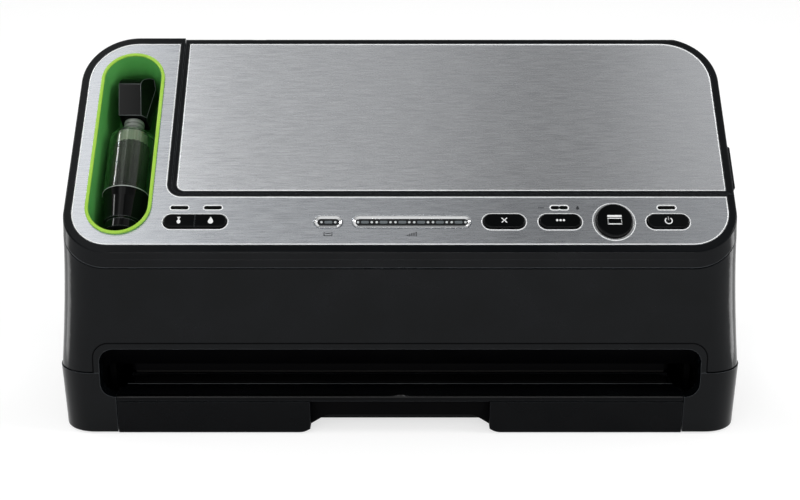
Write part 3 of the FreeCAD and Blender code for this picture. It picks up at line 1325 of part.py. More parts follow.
def shaft_brackets():
    """Upright bearing plates on the base floor beside the tray."""
    brackets = []
    half = SHAFT_RADIUS + BRACKET_RIM
    for x0 in (-BRACKET_X - BRACKET_THICKNESS, BRACKET_X):
        x1 = x0 + BRACKET_THICKNESS
        plate = block(x0, x1, SHAFT_Y - half, SHAFT_Y + half, FLOOR_TOP, SHAFT_Z)
        plate = plate.fuse(shaft_rod(half, x0, x1))
        brackets.append(plate.cut(shaft_rod(SHAFT_RADIUS + SHAFT_RUNNING, x0, x1)))
    return Part.makeCompound(brackets)


def tooth_points(teeth, middle_angle):
    """Root and tip corners of one straight-flanked tooth, as (radius, angle), in turning order."""
    pitch_radius = GEAR_MODULE * teeth / 2
    half_tooth = math.pi / (2 * teeth) - GEAR_BACKLASH / (2 * pitch_radius)
    pressure = math.tan(math.radians(GEAR_PRESSURE_ANGLE))
    depth = GEAR_DEDENDUM * GEAR_MODULE
    tip = pitch_radius + GEAR_MODULE
    root = pitch_radius - depth
    tip_half = half_tooth - pressure * GEAR_MODULE / pitch_radius
    root_half = half_tooth + pressure * depth / pitch_radius
    return [(root, middle_angle - root_half), (tip, middle_angle - tip_half),
            (tip, middle_angle + tip_half), (root, middle_angle + root_half)]


def tooth_corners(teeth, angles, centre, x):
    """Corners of the given teeth in the plane at x, with straight chords between their roots."""
    points = []
    for angle in angles:
        for radius, turn in tooth_points(teeth, angle):
            y = centre[0] + radius * math.cos(turn)
            z = centre[1] + radius * math.sin(turn)
            points.append(Vector(x, y, z))
    return points


def clamp_gear():
    """Toothed sector on the camshaft, with a hub and two arms' worth of web."""
    step = 2 * math.pi / GEAR_TEETH
    half = SECTOR_TEETH // 2
    angles = [index * step for index in range(-half, half + 1)]
    points = tooth_corners(GEAR_TEETH, angles, (SHAFT_Y, SHAFT_Z), GEAR_X)
    hub = SHAFT_RADIUS + BRACKET_RIM / 2
    points.append(Vector(GEAR_X, SHAFT_Y - hub / 2, SHAFT_Z + hub / 2))
    points.append(Vector(GEAR_X, SHAFT_Y - hub / 2, SHAFT_Z - hub / 2))
    sector = Part.Face(Part.makePolygon(points + points[:1])).extrude(Vector(GEAR_WIDTH, 0, 0))
    sector = sector.fuse(shaft_rod(hub, GEAR_X, GEAR_X + GEAR_WIDTH))
    return sector.cut(shaft_rod(SHAFT_RADIUS, GEAR_X, GEAR_X + GEAR_WIDTH))


def clamp_pinion():
    step = 2 * math.pi / PINION_TEETH
    angles = [index * step + step / 2 for index in range(PINION_TEETH)]
    points = tooth_corners(PINION_TEETH, angles, (PINION_Y, SHAFT_Z), GEAR_X)
    pinion = Part.Face(Part.makePolygon(points + points[:1])).extrude(Vector(GEAR_WIDTH, 0, 0))
    start = MOTOR_FACE_X - MOTOR_SHAFT_GRIP
    return pinion.fuse(rod_x(MOTOR_SHAFT_RADIUS, start, GEAR_X, PINION_Y, SHAFT_Z))


def clamp_motor():
    x0 = MOTOR_FACE_X - MOTOR_LENGTH
    can = rod_x(MOTOR_RADIUS, x0, MOTOR_FACE_X, PINION_Y, SHAFT_Z)
    bore_end = MOTOR_FACE_X - MOTOR_SHAFT_GRIP - MOTOR_SHAFT_RADIUS
    return can.cut(rod_x(MOTOR_SHAFT_RADIUS + SHAFT_RUNNING, bore_end, MOTOR_FACE_X, PINION_Y, SHAFT_Z))


def motor_mount():
    """L-shaped upright behind the tray that carries the clamp motor by its face."""
    x0 = MOTOR_FACE_X
    x1 = x0 + MOUNT_THICKNESS
    foot = TRAY_REAR_Y + MOUNT_GAP
    back = PINION_Y + MOTOR_RADIUS
    front = PINION_Y - MOTOR_RADIUS
    low = SHAFT_Z - MOTOR_RADIUS
    plate = side_slab([(foot, FLOOR_TOP), (back, FLOOR_TOP), (back, SHAFT_Z + MOTOR_RADIUS),
                       (front, SHAFT_Z + MOTOR_RADIUS), (front, low), (foot, low)], x0, x1)
    return plate.cut(rod_x(2 * MOTOR_SHAFT_RADIUS, x0, x1, PINION_Y, SHAFT_Z))


# Pump and supply

def vacuum_pump():
    """Pump head and motor cradle on one foot plate."""
    x1 = PUMP_X + PUMP_LENGTH / 2
    x0 = PUMP_FACE_X - PUMP_MOTOR_LENGTH
    y0 = PUMP_Y - PUMP_DEPTH / 2
    y1 = PUMP_Y + PUMP_DEPTH / 2
    plate_top = FLOOR_TOP + PUMP_PLATE
    plate = slab(outline(x0, x1, y0, y1, PUMP_PLATE, FLOOR_TOP), PUMP_PLATE)
    head = slab(outline(PUMP_FACE_X, x1, y0, y1, 2 * PUMP_PLATE, plate_top), PUMP_HEIGHT - PUMP_PLATE)
    saddle_x0 = (x0 + PUMP_FACE_X - PUMP_SADDLE_LENGTH) / 2
    saddle_x1 = saddle_x0 + PUMP_SADDLE_LENGTH
    saddle_top = PUMP_AXIS_Z - PUMP_MOTOR_RADIUS / 2
    half = PUMP_MOTOR_RADIUS
    saddle = block(saddle_x0, saddle_x1, PUMP_Y - half, PUMP_Y + half, plate_top, saddle_top)
    port = rod_y(TUBE_RADIUS, PUMP_X, y0 - PORT_LENGTH, y0, TUBE_Z)
    bed = rod_x(PUMP_MOTOR_RADIUS, x0, PUMP_FACE_X, PUMP_Y, PUMP_AXIS_Z)
    return plate.fuse([head, saddle, port]).cut(bed)


def pump_motor():
    x0 = PUMP_FACE_X - PUMP_MOTOR_LENGTH
    can = rod_x(PUMP_MOTOR_RADIUS, x0, PUMP_FACE_X, PUMP_Y, PUMP_AXIS_Z)
    reach = 0.001
    rim = [e for e in can.Edges if abs(e.BoundBox.XMin - x0) < reach and abs(e.BoundBox.XMax - x0) < reach]
    return can.makeChamfer(PUMP_MOTOR_LIFT / 2, rim)


def vacuum_manifold():
    y1 = MANIFOLD_REAR_Y
    half = MANIFOLD_WIDTH / 2
    wire = outline(PUMP_X - half, PUMP_X + half, y1 - MANIFOLD_DEPTH, y1, TRAY_WALL, FLOOR_TOP)
    port = rod_y(TUBE_RADIUS, PUMP_X, y1, y1 + PORT_LENGTH, TUBE_Z)
    return slab(wire, MANIFOLD_HEIGHT).fuse(port)


def vacuum_tube():
    start = MANIFOLD_REAR_Y + PORT_LENGTH
    end = PUMP_Y - PUMP_DEPTH / 2 - PORT_LENGTH
    return rod_y(TUBE_RADIUS, PUMP_X, start, end, TUBE_Z)


def power_board():
    """Supply board with two capacitors and a finned heat sink."""
    low = FLOOR_TOP + SUPPLY_STAND
    top = low + BOARD_THICKNESS
    x0 = SUPPLY_LEFT
    x1 = SUPPLY_RIGHT
    half_width = SUPPLY_WIDTH / 2
    board = block(x0, x1, SUPPLY_Y - half_width, SUPPLY_Y + half_width, low, top)
    pieces = []
    for x in (x0 + CAPACITOR_PITCH, x0 + 2 * CAPACITOR_PITCH):
        pieces.append(rod_z(CAPACITOR_RADIUS, x, SUPPLY_Y, top, top + CAPACITOR_HEIGHT))
    sink_x = x1 - SINK_LENGTH - SINK_FIN
    first = SUPPLY_Y - SINK_PITCH * (SINK_FINS - 1) / 2
    for index in range(SINK_FINS):
        y = first + index * SINK_PITCH
        pieces.append(block(sink_x, sink_x + SINK_LENGTH, y, y + SINK_FIN, top, top + CAPACITOR_HEIGHT))
    return board.fuse(pieces)


def transformer():
    """Laminated core with a wound coil through it."""
    x0 = TRANSFORMER_X - TRANSFORMER_LENGTH / 2
    x1 = TRANSFORMER_X + TRANSFORMER_LENGTH / 2
    core_y = TRANSFORMER_Y - TRANSFORMER_CORE / 2
    top = FLOOR_TOP + TRANSFORMER_HEIGHT
    core = block(x0, x1, core_y, core_y + TRANSFORMER_CORE, FLOOR_TOP, top)
    yoke = TRANSFORMER_YOKE
    coil_y = TRANSFORMER_Y - TRANSFORMER_COIL / 2
    wire = outline(x0 + yoke, x1 - yoke, coil_y, coil_y + TRANSFORMER_COIL, TRANSFORMER_COIL_ROUND,
                   FLOOR_TOP + yoke)
    return core.fuse(slab(wire, TRANSFORMER_HEIGHT - 2 * yoke))


def build():
    os.makedirs("parts", exist_ok=True)
    export("base_housing", base_housing())
    export("upper_housing", upper_housing())
    export("top_cover", top_cover())
    export("control_plate", control_plate())
    export("lid_frame", lid_frame())
    export("lid_plate", lid_plate())
    export("lid_hinge_pins", lid_hinge_pins())
    export("roll_bin", roll_bin())
    export("cutter_rail", cutter_rail())
    export("cutter_carriage", cutter_carriage())
    export("cutter_blade", cutter_blade())
    export("accessory_button", pair_button(-1))
    export("marinate_button", pair_button(1))
    export("cancel_button", pill_button(CANCEL_X))
    export("food_button", pill_button(FOOD_X))
    export("power_button", pill_button(POWER_X))
    export("seal_button", seal_button())
    export("seal_trim_ring", seal_trim_ring())
    export("window_frames", window_frames())
    export("tray_full_window", window_lens(TRAY_WINDOW_X, TRAY_WINDOW_LENGTH, TRAY_WINDOW_CELLS))
    export("progress_window", window_lens(PROGRESS_X, PROGRESS_LENGTH, PROGRESS_CELLS))
    export("indicator_lights", indicator_lights())
    export("control_board", control_board())
    export("key_switches", key_switches())
    export("accessory_pocket", accessory_pocket())
    export("pocket_rim", pocket_rim())
    export("handheld_cup", handheld_cup())
    export("suction_ring", suction_ring())
    export("handheld_reservoir", handheld_reservoir())
    export("handheld_filter", handheld_filter())
    export("handheld_head", handheld_head())
    export("handheld_hose", handheld_hose())
    export("hose_reel", hose_reel())
    export("wound_hose", wound_hose())
    export("reel_axle", reel_axle())
    export("reel_bracket", reel_bracket())
    export("slot_throat", slot_throat())
    export("drip_tray", drip_tray())
    export("counter_pad", counter_pad())
    export("upper_jaw", upper_jaw())
    export("jaw_gasket", jaw_gasket())
    export("heater_bar", heater_bar())
    export("heater_tape", heater_tape())
    export("camshaft", camshaft())
    export("shaft_brackets", shaft_brackets())
    export("clamp_gear", clamp_gear())
    export("clamp_pinion", clamp_pinion())
    export("clamp_motor", clamp_motor())
    export("motor_mount", motor_mount())
    export("vacuum_pump", vacuum_pump())
    export("pump_motor", pump_motor())
    export("vacuum_manifold", vacuum_manifold())
    export("vacuum_tube", vacuum_tube())
    export("power_board", power_board())
    export("transformer", transformer())
    export("rubber_feet", rubber_feet())
    export("base_screws", base_screws())
    export("cord_inlet", cord_inlet())


if __name__ == "__main__":
    build()
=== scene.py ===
"""Looks of a countertop vacuum sealer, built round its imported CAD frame, in metres with +Z up."""

import json
import logging
import math
from dataclasses import dataclass, replace
from enum import Enum
from typing import Callable, Iterable

import bmesh
import bpy
from bmesh.types import BMesh, BMFace, BMVert
from bpy.types import Curve, Material, Node, NodeSocket, NodeTree, Object
from mathutils import Matrix, Vector

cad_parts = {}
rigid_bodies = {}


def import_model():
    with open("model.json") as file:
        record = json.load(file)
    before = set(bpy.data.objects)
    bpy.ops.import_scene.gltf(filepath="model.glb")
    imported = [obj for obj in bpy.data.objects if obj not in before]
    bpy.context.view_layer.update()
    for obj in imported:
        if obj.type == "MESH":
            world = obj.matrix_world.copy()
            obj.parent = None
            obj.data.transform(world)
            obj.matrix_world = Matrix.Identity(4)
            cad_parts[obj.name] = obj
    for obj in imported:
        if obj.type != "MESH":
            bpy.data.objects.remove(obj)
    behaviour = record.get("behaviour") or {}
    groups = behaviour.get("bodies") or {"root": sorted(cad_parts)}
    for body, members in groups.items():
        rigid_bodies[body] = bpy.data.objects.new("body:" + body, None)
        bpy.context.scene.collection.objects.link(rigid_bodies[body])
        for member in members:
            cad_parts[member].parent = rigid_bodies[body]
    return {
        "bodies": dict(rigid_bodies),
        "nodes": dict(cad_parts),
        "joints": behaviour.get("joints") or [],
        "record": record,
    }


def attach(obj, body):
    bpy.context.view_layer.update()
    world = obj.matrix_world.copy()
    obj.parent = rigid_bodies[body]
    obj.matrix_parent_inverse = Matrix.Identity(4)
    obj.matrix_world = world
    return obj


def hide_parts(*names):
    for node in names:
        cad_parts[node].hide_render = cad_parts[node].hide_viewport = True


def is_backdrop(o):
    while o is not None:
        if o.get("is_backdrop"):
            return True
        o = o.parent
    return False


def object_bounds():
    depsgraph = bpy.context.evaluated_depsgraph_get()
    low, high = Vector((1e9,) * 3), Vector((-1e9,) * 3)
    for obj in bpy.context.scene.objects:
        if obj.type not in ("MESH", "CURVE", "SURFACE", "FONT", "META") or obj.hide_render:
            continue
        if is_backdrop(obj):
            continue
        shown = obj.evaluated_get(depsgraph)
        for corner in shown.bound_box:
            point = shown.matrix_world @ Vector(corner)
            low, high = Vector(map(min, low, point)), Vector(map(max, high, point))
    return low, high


LOG = logging.getLogger("vacuum_sealer")
MM = 0.001
MERGE = 0.001 * MM
SLOPE = math.radians(45.0)
HOSE_RADIUS = 3.2
SKIN_WALL = 0.02

Span = tuple[float, float]
Place = tuple[float, float, float]
FaceTest = Callable[[BMFace], bool]


def linear(colour: str) -> tuple[float, float, float, float]:
    """Turn an sRGB hex colour into linear values.

    Args:
        colour: six hex digits after a hash.

    Returns:
        Red, green, blue and an alpha of 1.
    """
    levels = [int(colour[place:place + 2], 16) / 255 for place in (1, 3, 5)]
    values = [x / 12.92 if x <= 0.04045 else ((x + 0.055) / 1.055) ** 2.4 for x in levels]
    return (values[0], values[1], values[2], 1.0)


def add_node(tree: NodeTree, kind: str, inputs: dict | None = None, stops: Iterable[tuple] = (),
             **settings) -> Node:
    """Add a node with its settings and its links.

    Args:
        tree: the tree that takes the node.
        kind: Blender's name for the node's type, without the ShaderNode that each starts with.
        inputs: for each input's name or number, an output to link or a value to set.
        stops: a colour ramp's pairs of place and linear colour.
        settings: the node's own properties.

    Returns:
        The new node.
    """
    node = tree.nodes.new("ShaderNode" + kind)
    for name, value in settings.items():
        setattr(node, name, value)
    for index, (place, colour) in enumerate(stops):
        elements = node.color_ramp.elements
        element = elements[index] if index < 2 else elements.new(place)
        element.position = place
        element.color = colour
    for key, value in (inputs or {}).items():
        if isinstance(value, NodeSocket):
            tree.links.new(value, node.inputs[key])
        else:
            node.inputs[key].default_value = value
    return node


@dataclass(frozen=True)
class Finish:
    """What each finish has: a name for its real material, and a way to become a node material."""

    name: str

    def material(self) -> Material:
        """Make this finish's node material.

        Returns:
            A material whose output has the finish's shader.
        """
        made = bpy.data.materials.new(self.name)
        made.use_nodes = True
        tree = made.node_tree
        tree.nodes.clear()
        shader = self.shader(tree, self.place(tree))
        add_node(tree, "OutputMaterial", {"Surface": shader.outputs[0]})
        return made

    def place(self, tree: NodeTree) -> NodeSocket:
        """Give the object coordinates in millimetres, so that each pattern is scaled by its real size."""
        coordinates = add_node(tree, "TexCoord").outputs["Object"]
        return add_node(tree, "Mapping", {"Vector": coordinates, "Scale": (1 / MM,) * 3}).outputs["Vector"]

    def paced(self, tree: NodeTree, place: NodeSocket, turn: float, steps: Place) -> NodeSocket:
        """Turn the coordinates about X, then count them in steps of a pattern.

        Args:
            tree: the material's tree.
            place: coordinates in millimetres.
            turn: the angle, in radians.
            steps: the pattern's size along each axis, in millimetres.

        Returns:
            The coordinates in steps.
        """
        turned_place = add_node(tree, "Mapping", {"Vector": place, "Rotation": (turn, 0.0, 0.0)})
        size = tuple(1 / step for step in steps)
        inputs = {"Vector": turned_place.outputs["Vector"], "Scale": size}
        return add_node(tree, "Mapping", inputs).outputs["Vector"]

    def shader(self, tree: NodeTree, place: NodeSocket) -> Node:
        """Make the shader; each kind of finish has its own."""
        raise NotImplementedError


@dataclass(frozen=True)
class Moulded(Finish):
    """Moulded plastic or rubber: fine tool grain, slow changes of gloss, edges softened by the mould."""

    colour: str
    worn: str
    roughness: Span = (0.24, 0.34)
    grain: float = 0.5
    depth: float = 0.02
    patch: float = 30.0
    specular: float = 0.3
    subsurface: float = 0.0
    edge: float = 0.3
    # Colour laid on sharp edges: pale for painted highlights, dark for painted shade, with some wear
    edge_wear_and_painted_light: str = ""
    darkening_heights: Span = (0.0, 0.0)

    def shader(self, tree: NodeTree, place: NodeSocket) -> Node:
        """Grain as bump, patches in colour and gloss, a painted tone on the edges for highlights, shade and
        wear, and a colour that darkens towards the foot.

        Args:
            tree: the material's tree.
            place: coordinates in millimetres.

        Returns:
            The plastic's shader.
        """
        patches = add_node(tree, "TexNoise", {"Vector": place, "Scale": 1 / self.patch, "Detail": 4.0})
        grains = add_node(tree, "TexNoise", {"Vector": place, "Scale": 1 / self.grain, "Detail": 2.0})
        patch = patches.outputs["Fac"]
        tones = ((0.35, linear(self.colour)), (0.7, linear(self.worn)))
        tone = add_node(tree, "ValToRGB", {"Fac": patch}, tones).outputs["Color"]
        # The colour darkens towards the foot, between the two given heights
        if any(self.darkening_heights):
            foot, top = self.darkening_heights
            height = add_node(tree, "SeparateXYZ", {"Vector": place}).outputs["Z"]
            inputs = {"Value": height, "From Min": foot, "From Max": top, "To Min": 0.9, "To Max": 0.0}
            darkening = add_node(tree, "MapRange", inputs).outputs["Result"]
            inputs = {"Factor": darkening, "A": tone, "B": linear("#000000")}
            tone = add_node(tree, "Mix", inputs, data_type="RGBA").outputs["Result"]
        low, high = self.roughness
        inputs = {"Value": patch, "From Min": 0.3, "From Max": 0.7, "To Min": low, "To Max": high}
        gloss = add_node(tree, "MapRange", inputs)
        soft = add_node(tree, "Bevel", {"Radius": self.edge * MM}, samples=4).outputs["Normal"]
        grain = grains.outputs["Fac"]
        inputs = {"Height": grain, "Distance": self.depth * MM, "Strength": 0.5, "Normal": soft}
        bump = add_node(tree, "Bump", inputs)
        # Edges take another colour: painted highlight where it is pale, painted shade where it is dark, with
        # some wear
        if self.edge_wear_and_painted_light:
            flat = add_node(tree, "NewGeometry").outputs["True Normal"]
            turn = add_node(tree, "VectorMath", {0: soft, 1: flat}, operation="DOT_PRODUCT").outputs["Value"]
            wear_and_light_mask = add_node(tree, "MapRange", {"Value": turn, "From Min": 0.98, "From Max": 0.8})
            inputs = {"Factor": wear_and_light_mask.outputs["Result"], "A": tone, "B": linear(self.edge_wear_and_painted_light)}
            tone = add_node(tree, "Mix", inputs, data_type="RGBA").outputs["Result"]
        inputs = {"Base Color": tone, "Roughness": gloss.outputs["Result"], "Normal": bump.outputs["Normal"],
                  "Specular IOR Level": self.specular, "Subsurface Weight": self.subsurface}
        return add_node(tree, "BsdfPrincipled", inputs)


@dataclass(frozen=True)
class Brushed(Finish):
    """Metal with a directional grain: long streaks that break up the light along the brush."""

    colour: str
    streak: str
    roughness: Span = (0.24, 0.3)
    anisotropy: float = 0.75
    length: float = 16.0
    width: float = 0.7
    turn: float = 0.0
    spread: Place = (0.0, 1.0, 1.0)
    depth: float = 0.004
    edge: float = 0.15

    def shader(self, tree: NodeTree, place: NodeSocket) -> Node:
        """Stretched noise for the brush lines, in colour, gloss and bump.

        Args:
            tree: the material's tree.
            place: coordinates in millimetres.

        Returns:
            The metal's shader.
        """
        lines = self.paced(tree, place, self.turn, (self.length, self.width, self.width))
        inputs = {"Vector": lines, "Scale": 1.0, "Detail": 3.0, "Roughness": 0.6}
        brush = add_node(tree, "TexNoise", inputs).outputs["Fac"]
        tones = ((0.3, linear(self.streak)), (0.7, linear(self.colour)))
        tone = add_node(tree, "ValToRGB", {"Fac": brush}, tones).outputs["Color"]
        low, high = self.roughness
        inputs = {"Value": brush, "From Min": 0.3, "From Max": 0.7, "To Min": low, "To Max": high}
        gloss = add_node(tree, "MapRange", inputs)
        soft = add_node(tree, "Bevel", {"Radius": self.edge * MM}, samples=4).outputs["Normal"]
        inputs = {"Height": brush, "Distance": self.depth * MM, "Strength": 0.4, "Normal": soft}
        bump = add_node(tree, "Bump", inputs)
        across = add_node(tree, "CombineXYZ", dict(zip("XYZ", self.spread)))
        inputs = {"Base Color": tone, "Metallic": 1.0, "Roughness": gloss.outputs["Result"],
                  "Anisotropic": self.anisotropy, "Tangent": across.outputs["Vector"],
                  "Normal": bump.outputs["Normal"]}
        return add_node(tree, "BsdfPrincipled", inputs)


@dataclass(frozen=True)
class Clear(Finish):
    """Clear moulded plastic: see-through, with faint flow lines and handling haze."""

    colour: str
    ior: float
    roughness: Span = (0.02, 0.09)
    flow: float = 9.0
    depth: float = 0.05

    def shader(self, tree: NodeTree, place: NodeSocket) -> Node:
        """Transmission with a slow waviness.

        Args:
            tree: the material's tree.
            place: coordinates in millimetres.

        Returns:
            The clear plastic's shader.
        """
        inputs = {"Vector": place, "Scale": 1 / self.flow, "Detail": 2.0}
        flow = add_node(tree, "TexNoise", inputs).outputs["Fac"]
        low, high = self.roughness
        inputs = {"Value": flow, "From Min": 0.35, "From Max": 0.7, "To Min": low, "To Max": high}
        haze = add_node(tree, "MapRange", inputs)
        bump = add_node(tree, "Bump", {"Height": flow, "Distance": self.depth * MM, "Strength": 0.5})
        inputs = {"Base Color": linear(self.colour), "Roughness": haze.outputs["Result"], "IOR": self.ior,
                  "Transmission Weight": 1.0, "Normal": bump.outputs["Normal"]}
        return add_node(tree, "BsdfPrincipled", inputs)


@dataclass(frozen=True)
class Ribbed(Finish):
    """Material with a regular relief of ribs or cells: a filter body, woven tape, a circuit board."""

    colour: str
    groove: str
    pitch: Place
    roughness: float
    turn: float = 0.0
    depth: float = 0.2
    specular: float = 0.5
    subsurface: float = 0.0

    def shader(self, tree: NodeTree, place: NodeSocket) -> Node:
        """A cell pattern for colour and relief.

        Args:
            tree: the material's tree.
            place: coordinates in millimetres.

        Returns:
            The ribbed material's shader.
        """
        ribs = self.paced(tree, place, self.turn, self.pitch)
        inputs = {"Vector": ribs, "Scale": 1.0, "Randomness": 0.35}
        cells = add_node(tree, "TexVoronoi", inputs).outputs["Distance"]
        tones = ((0.15, linear(self.colour)), (0.75, linear(self.groove)))
        tone = add_node(tree, "ValToRGB", {"Fac": cells}, tones).outputs["Color"]
        inputs = {"Height": cells, "Strength": 0.6, "Distance": self.depth * MM}
        bump = add_node(tree, "Bump", inputs, invert=True)
        inputs = {"Base Color": tone, "Roughness": self.roughness, "Normal": bump.outputs["Normal"],
                  "Specular IOR Level": self.specular, "Subsurface Weight": self.subsurface}
        return add_node(tree, "BsdfPrincipled", inputs)


@dataclass(frozen=True)
class StudioPaper(Finish):
    """Seamless paper lit to white: matt, with the least cloudiness, and it takes a pale shadow."""

    colour: str
    cloud: str
    grey: str
    glow: float
    patch: float = 400.0

    def shader(self, tree: NodeTree, place: NodeSocket) -> Node:
        """Plain paper for the light that it throws back, and white paper where it is looked at or mirrored.

        Args:
            tree: the material's tree.
            place: coordinates in millimetres.

        Returns:
            The paper's shader.
        """
        clouds = add_node(tree, "TexNoise", {"Vector": place, "Scale": 1 / self.patch})
        tones = ((0.3, linear(self.cloud)), (0.7, linear(self.colour)))
        tone = add_node(tree, "ValToRGB", {"Fac": clouds.outputs["Fac"]}, tones).outputs["Color"]
        plain = add_node(tree, "BsdfDiffuse", {"Color": tone, "Roughness": 1.0})
        shadow = add_node(tree, "BsdfDiffuse", {"Color": linear(self.grey), "Roughness": 1.0})
        glow = add_node(tree, "Emission", {"Strength": self.glow})
        white = add_node(tree, "AddShader", {0: shadow.outputs["BSDF"], 1: glow.outputs["Emission"]})
        rays = add_node(tree, "LightPath").outputs
        inputs = {0: rays["Is Glossy Ray"], 1: rays["Is Transmission Ray"]}
        mirrored = add_node(tree, "Math", inputs, operation="MAXIMUM")
        inputs = {0: rays["Is Camera Ray"], 1: mirrored.outputs["Value"]}
        seen = add_node(tree, "Math", inputs, operation="MAXIMUM")
        inputs = {0: seen.outputs["Value"], 1: plain.outputs["BSDF"], 2: white.outputs["Shader"]}
        return add_node(tree, "MixShader", inputs)


class Surface(Enum):
    """Every finish on the object and its stage."""

    # ABS from a fine polished tool: a deep, slightly blue black that mirrors the room only faintly; its
    # sharp edges are painted pale, as wear and as highlights along the seams
    GLOSS_ABS = Moulded("moulded_black_abs", "#06080a", "#0a0c0f", roughness=(0.13, 0.19), specular=0.13,
                        edge=0.45, edge_wear_and_painted_light="#5c6064")
    # The upper housing's ABS, without the pale edges painted on the rest of the shell
    UPPER_ABS = replace(GLOSS_ABS, name="moulded_black_upper_abs", edge_wear_and_painted_light="")
    # The same ABS with a satin skin: the drip tray, a little deeper than the shell round it; its edges are
    # painted grey as highlights
    SATIN_ABS = Moulded("satin_black_abs", "#050608", "#08090b", roughness=(0.2, 0.28), specular=0.075,
                        edge=0.4, edge_wear_and_painted_light="#3a3d40")
    # ABS from a mirror tool: glossy black, with a lighter grey painted along each rounded edge as a glint
    KEY_ABS = Moulded("polished_black_abs", "#030405", "#060708", roughness=(0.07, 0.12), specular=0.1,
                      depth=0.005, edge=0.4, edge_wear_and_painted_light="#63676a")
    # ABS polished by hand and tool: the handheld's black shells, which show the lamp as a thin line; their
    # edges are painted pale as highlights
    HAND_ABS = Moulded("polished_black_shell_abs", "#040505", "#070808", roughness=(0.05, 0.09),
                       specular=0.16, depth=0.005, edge=0.55, edge_wear_and_painted_light="#8b8f91")
    # Pale grey lines laid along black edges: painted highlights
    EDGE_HIGHLIGHT_ABS = Moulded("painted_highlight_black_edges", "#5d6163", "#6c7072", roughness=(0.2, 0.28), grain=0.3,
                       specular=0.5)
    # ABS flame-polished along the tray's lip: a mirror line across the slot
    LIP_ABS = Moulded("polished_black_lip_abs", "#050607", "#08090a", roughness=(0.09, 0.14), specular=0.4,
                      depth=0.005)
    # ABS from an etched tool: a dull black, darker than the shell's, as painted shade on inner walls,
    # recesses and gaps
    MATT_ABS = Moulded("etched_black_abs", "#020203", "#030304", roughness=(0.5, 0.62), depth=0.05,
                       specular=0.04)
    # Aluminium with a black anodised skin: the carrier of the heating wire and the plates beside it
    ANODISED = Moulded("black_anodised_aluminium", "#050506", "#08080a", roughness=(0.4, 0.5), depth=0.01,
                       specular=0.08)
    # Polypropylene dyed green: a soft mid green that scatters a little light
    GREEN_PP = Moulded("moulded_green_polypropylene", "#4f9e4c", "#5ba857", roughness=(0.36, 0.46),
                       subsurface=0.05)
    # ABS dyed lime: a bright gloss line round the pocket, its edges painted a darker green as shade
    LIME_ABS = Moulded("moulded_lime_abs", "#9ac93b", "#aad450", roughness=(0.16, 0.24), subsurface=0.05,
                       edge=0.5, edge_wear_and_painted_light="#55821f")
    # Natural rubber: dull black, faintly dusty
    RUBBER = Moulded("moulded_black_rubber", "#070708", "#0c0c0d", roughness=(0.6, 0.75), grain=0.8,
                     depth=0.06, specular=0.06)
    # Acetal collar on the handheld's neck: milky grey with a satin skin
    NECK_POM = Moulded("moulded_dark_acetal", "#7f847e", "#959a94", roughness=(0.12, 0.18), specular=0.6)
    # The same acetal, pale: a thin ring where the tank meets the cup, a painted highlight along that edge
    COLLAR_POM = Moulded("moulded_grey_acetal", "#9da19c", "#b4b8b2", roughness=(0.25, 0.35), subsurface=0.1)
    # PVC hose: black with a satin skin
    HOSE_PVC = Moulded("extruded_black_pvc", "#0e0e0f", "#151516", roughness=(0.35, 0.45))
    # Silk-screen inks: a thin matt film, a little uneven
    WHITE_INK = Moulded("screen_printed_white_ink", "#e9eaea", "#f4f4f4", roughness=(0.5, 0.6), grain=0.2)
    DARK_INK = Moulded("screen_printed_grey_ink", "#26282b", "#303236", roughness=(0.5, 0.6), grain=0.2)
    # Diffuser spots and pads behind the windows: milky acrylic, unlit
    SPOT_ACRYLIC = Moulded("milky_acrylic_spots", "#c4c8c9", "#d3d6d6", roughness=(0.2, 0.3), grain=0.2)
    PAD_ACRYLIC = Moulded("grey_acrylic_pads", "#5d6366", "#6b7174", roughness=(0.2, 0.3), grain=0.2)
    # Stainless sheet brushed along the width: streaks drawn wider than real so that they show
    LID_STEEL = Brushed("brushed_stainless_lid", "#d8dadd", "#c6c8cc", turn=-SLOPE)
    # The panel's sheet is the same stainless as the lid's, given darker colours as painted shade
    PANEL_STEEL = Brushed("brushed_stainless_panel", "#c6c9cd", "#b3b6bb", turn=-SLOPE)
    # The same sheet on the bevel round each plate and hole, coloured near white as a painted highlight line
    EDGE_HIGHLIGHT_STEEL = Brushed("bevel_highlight_stainless_edge", "#fafbfb", "#f0f1f2", roughness=(0.62, 0.72),
                        anisotropy=0.0, length=3.0)
    # Chrome on ABS: bright trim
    CHROME = Brushed("plated_bright_trim", "#e2e3e4", "#d9dadb", roughness=(0.08, 0.14), anisotropy=0.0,
                     length=3.0)
    # Turned and milled steel
    STEEL = Brushed("machined_steel", "#a9abad", "#8f9193", roughness=(0.28, 0.38), anisotropy=0.3,
                    length=5.0)
    # Pressed and zinc-plated motor cans
    ZINC = Brushed("zinc_plated_steel", "#8d9092", "#777a7c", roughness=(0.36, 0.5), anisotropy=0.1,
                   width=3.0)
    # Clear SAN: the handheld's tank
    CLEAR_SAN = Clear("moulded_clear_san", "#eef4ee", ior=1.32)
    # Smoked acrylic window lenses and lamp bars, nearly black until lit
    SMOKE_LENS = Moulded("smoked_acrylic_lens", "#101315", "#171a1c", roughness=(0.06, 0.12), specular=0.5)
    LIGHT_LENS = Moulded("dark_acrylic_lamp_bars", "#030404", "#070808", roughness=(0.12, 0.2), specular=0.1)
    # Polyethylene filter body under the neck: pale, with upright ribs
    FILTER_PE = Ribbed("moulded_ribbed_polyethylene", "#a3ad97", "#7d8a70", pitch=(1.6, 40.0, 40.0),
                       turn=-SLOPE, roughness=0.45, subsurface=0.15)
    # Pleated filter paper, grey-green, darkening to nearly black towards its foot
    PLEAT_PAPER = Moulded("pleated_filter_paper", "#3d4538", "#545d4e", roughness=(0.6, 0.75), grain=0.6,
                          depth=0.06, patch=12.0, specular=0.1, darkening_heights=(148.0, 182.0))
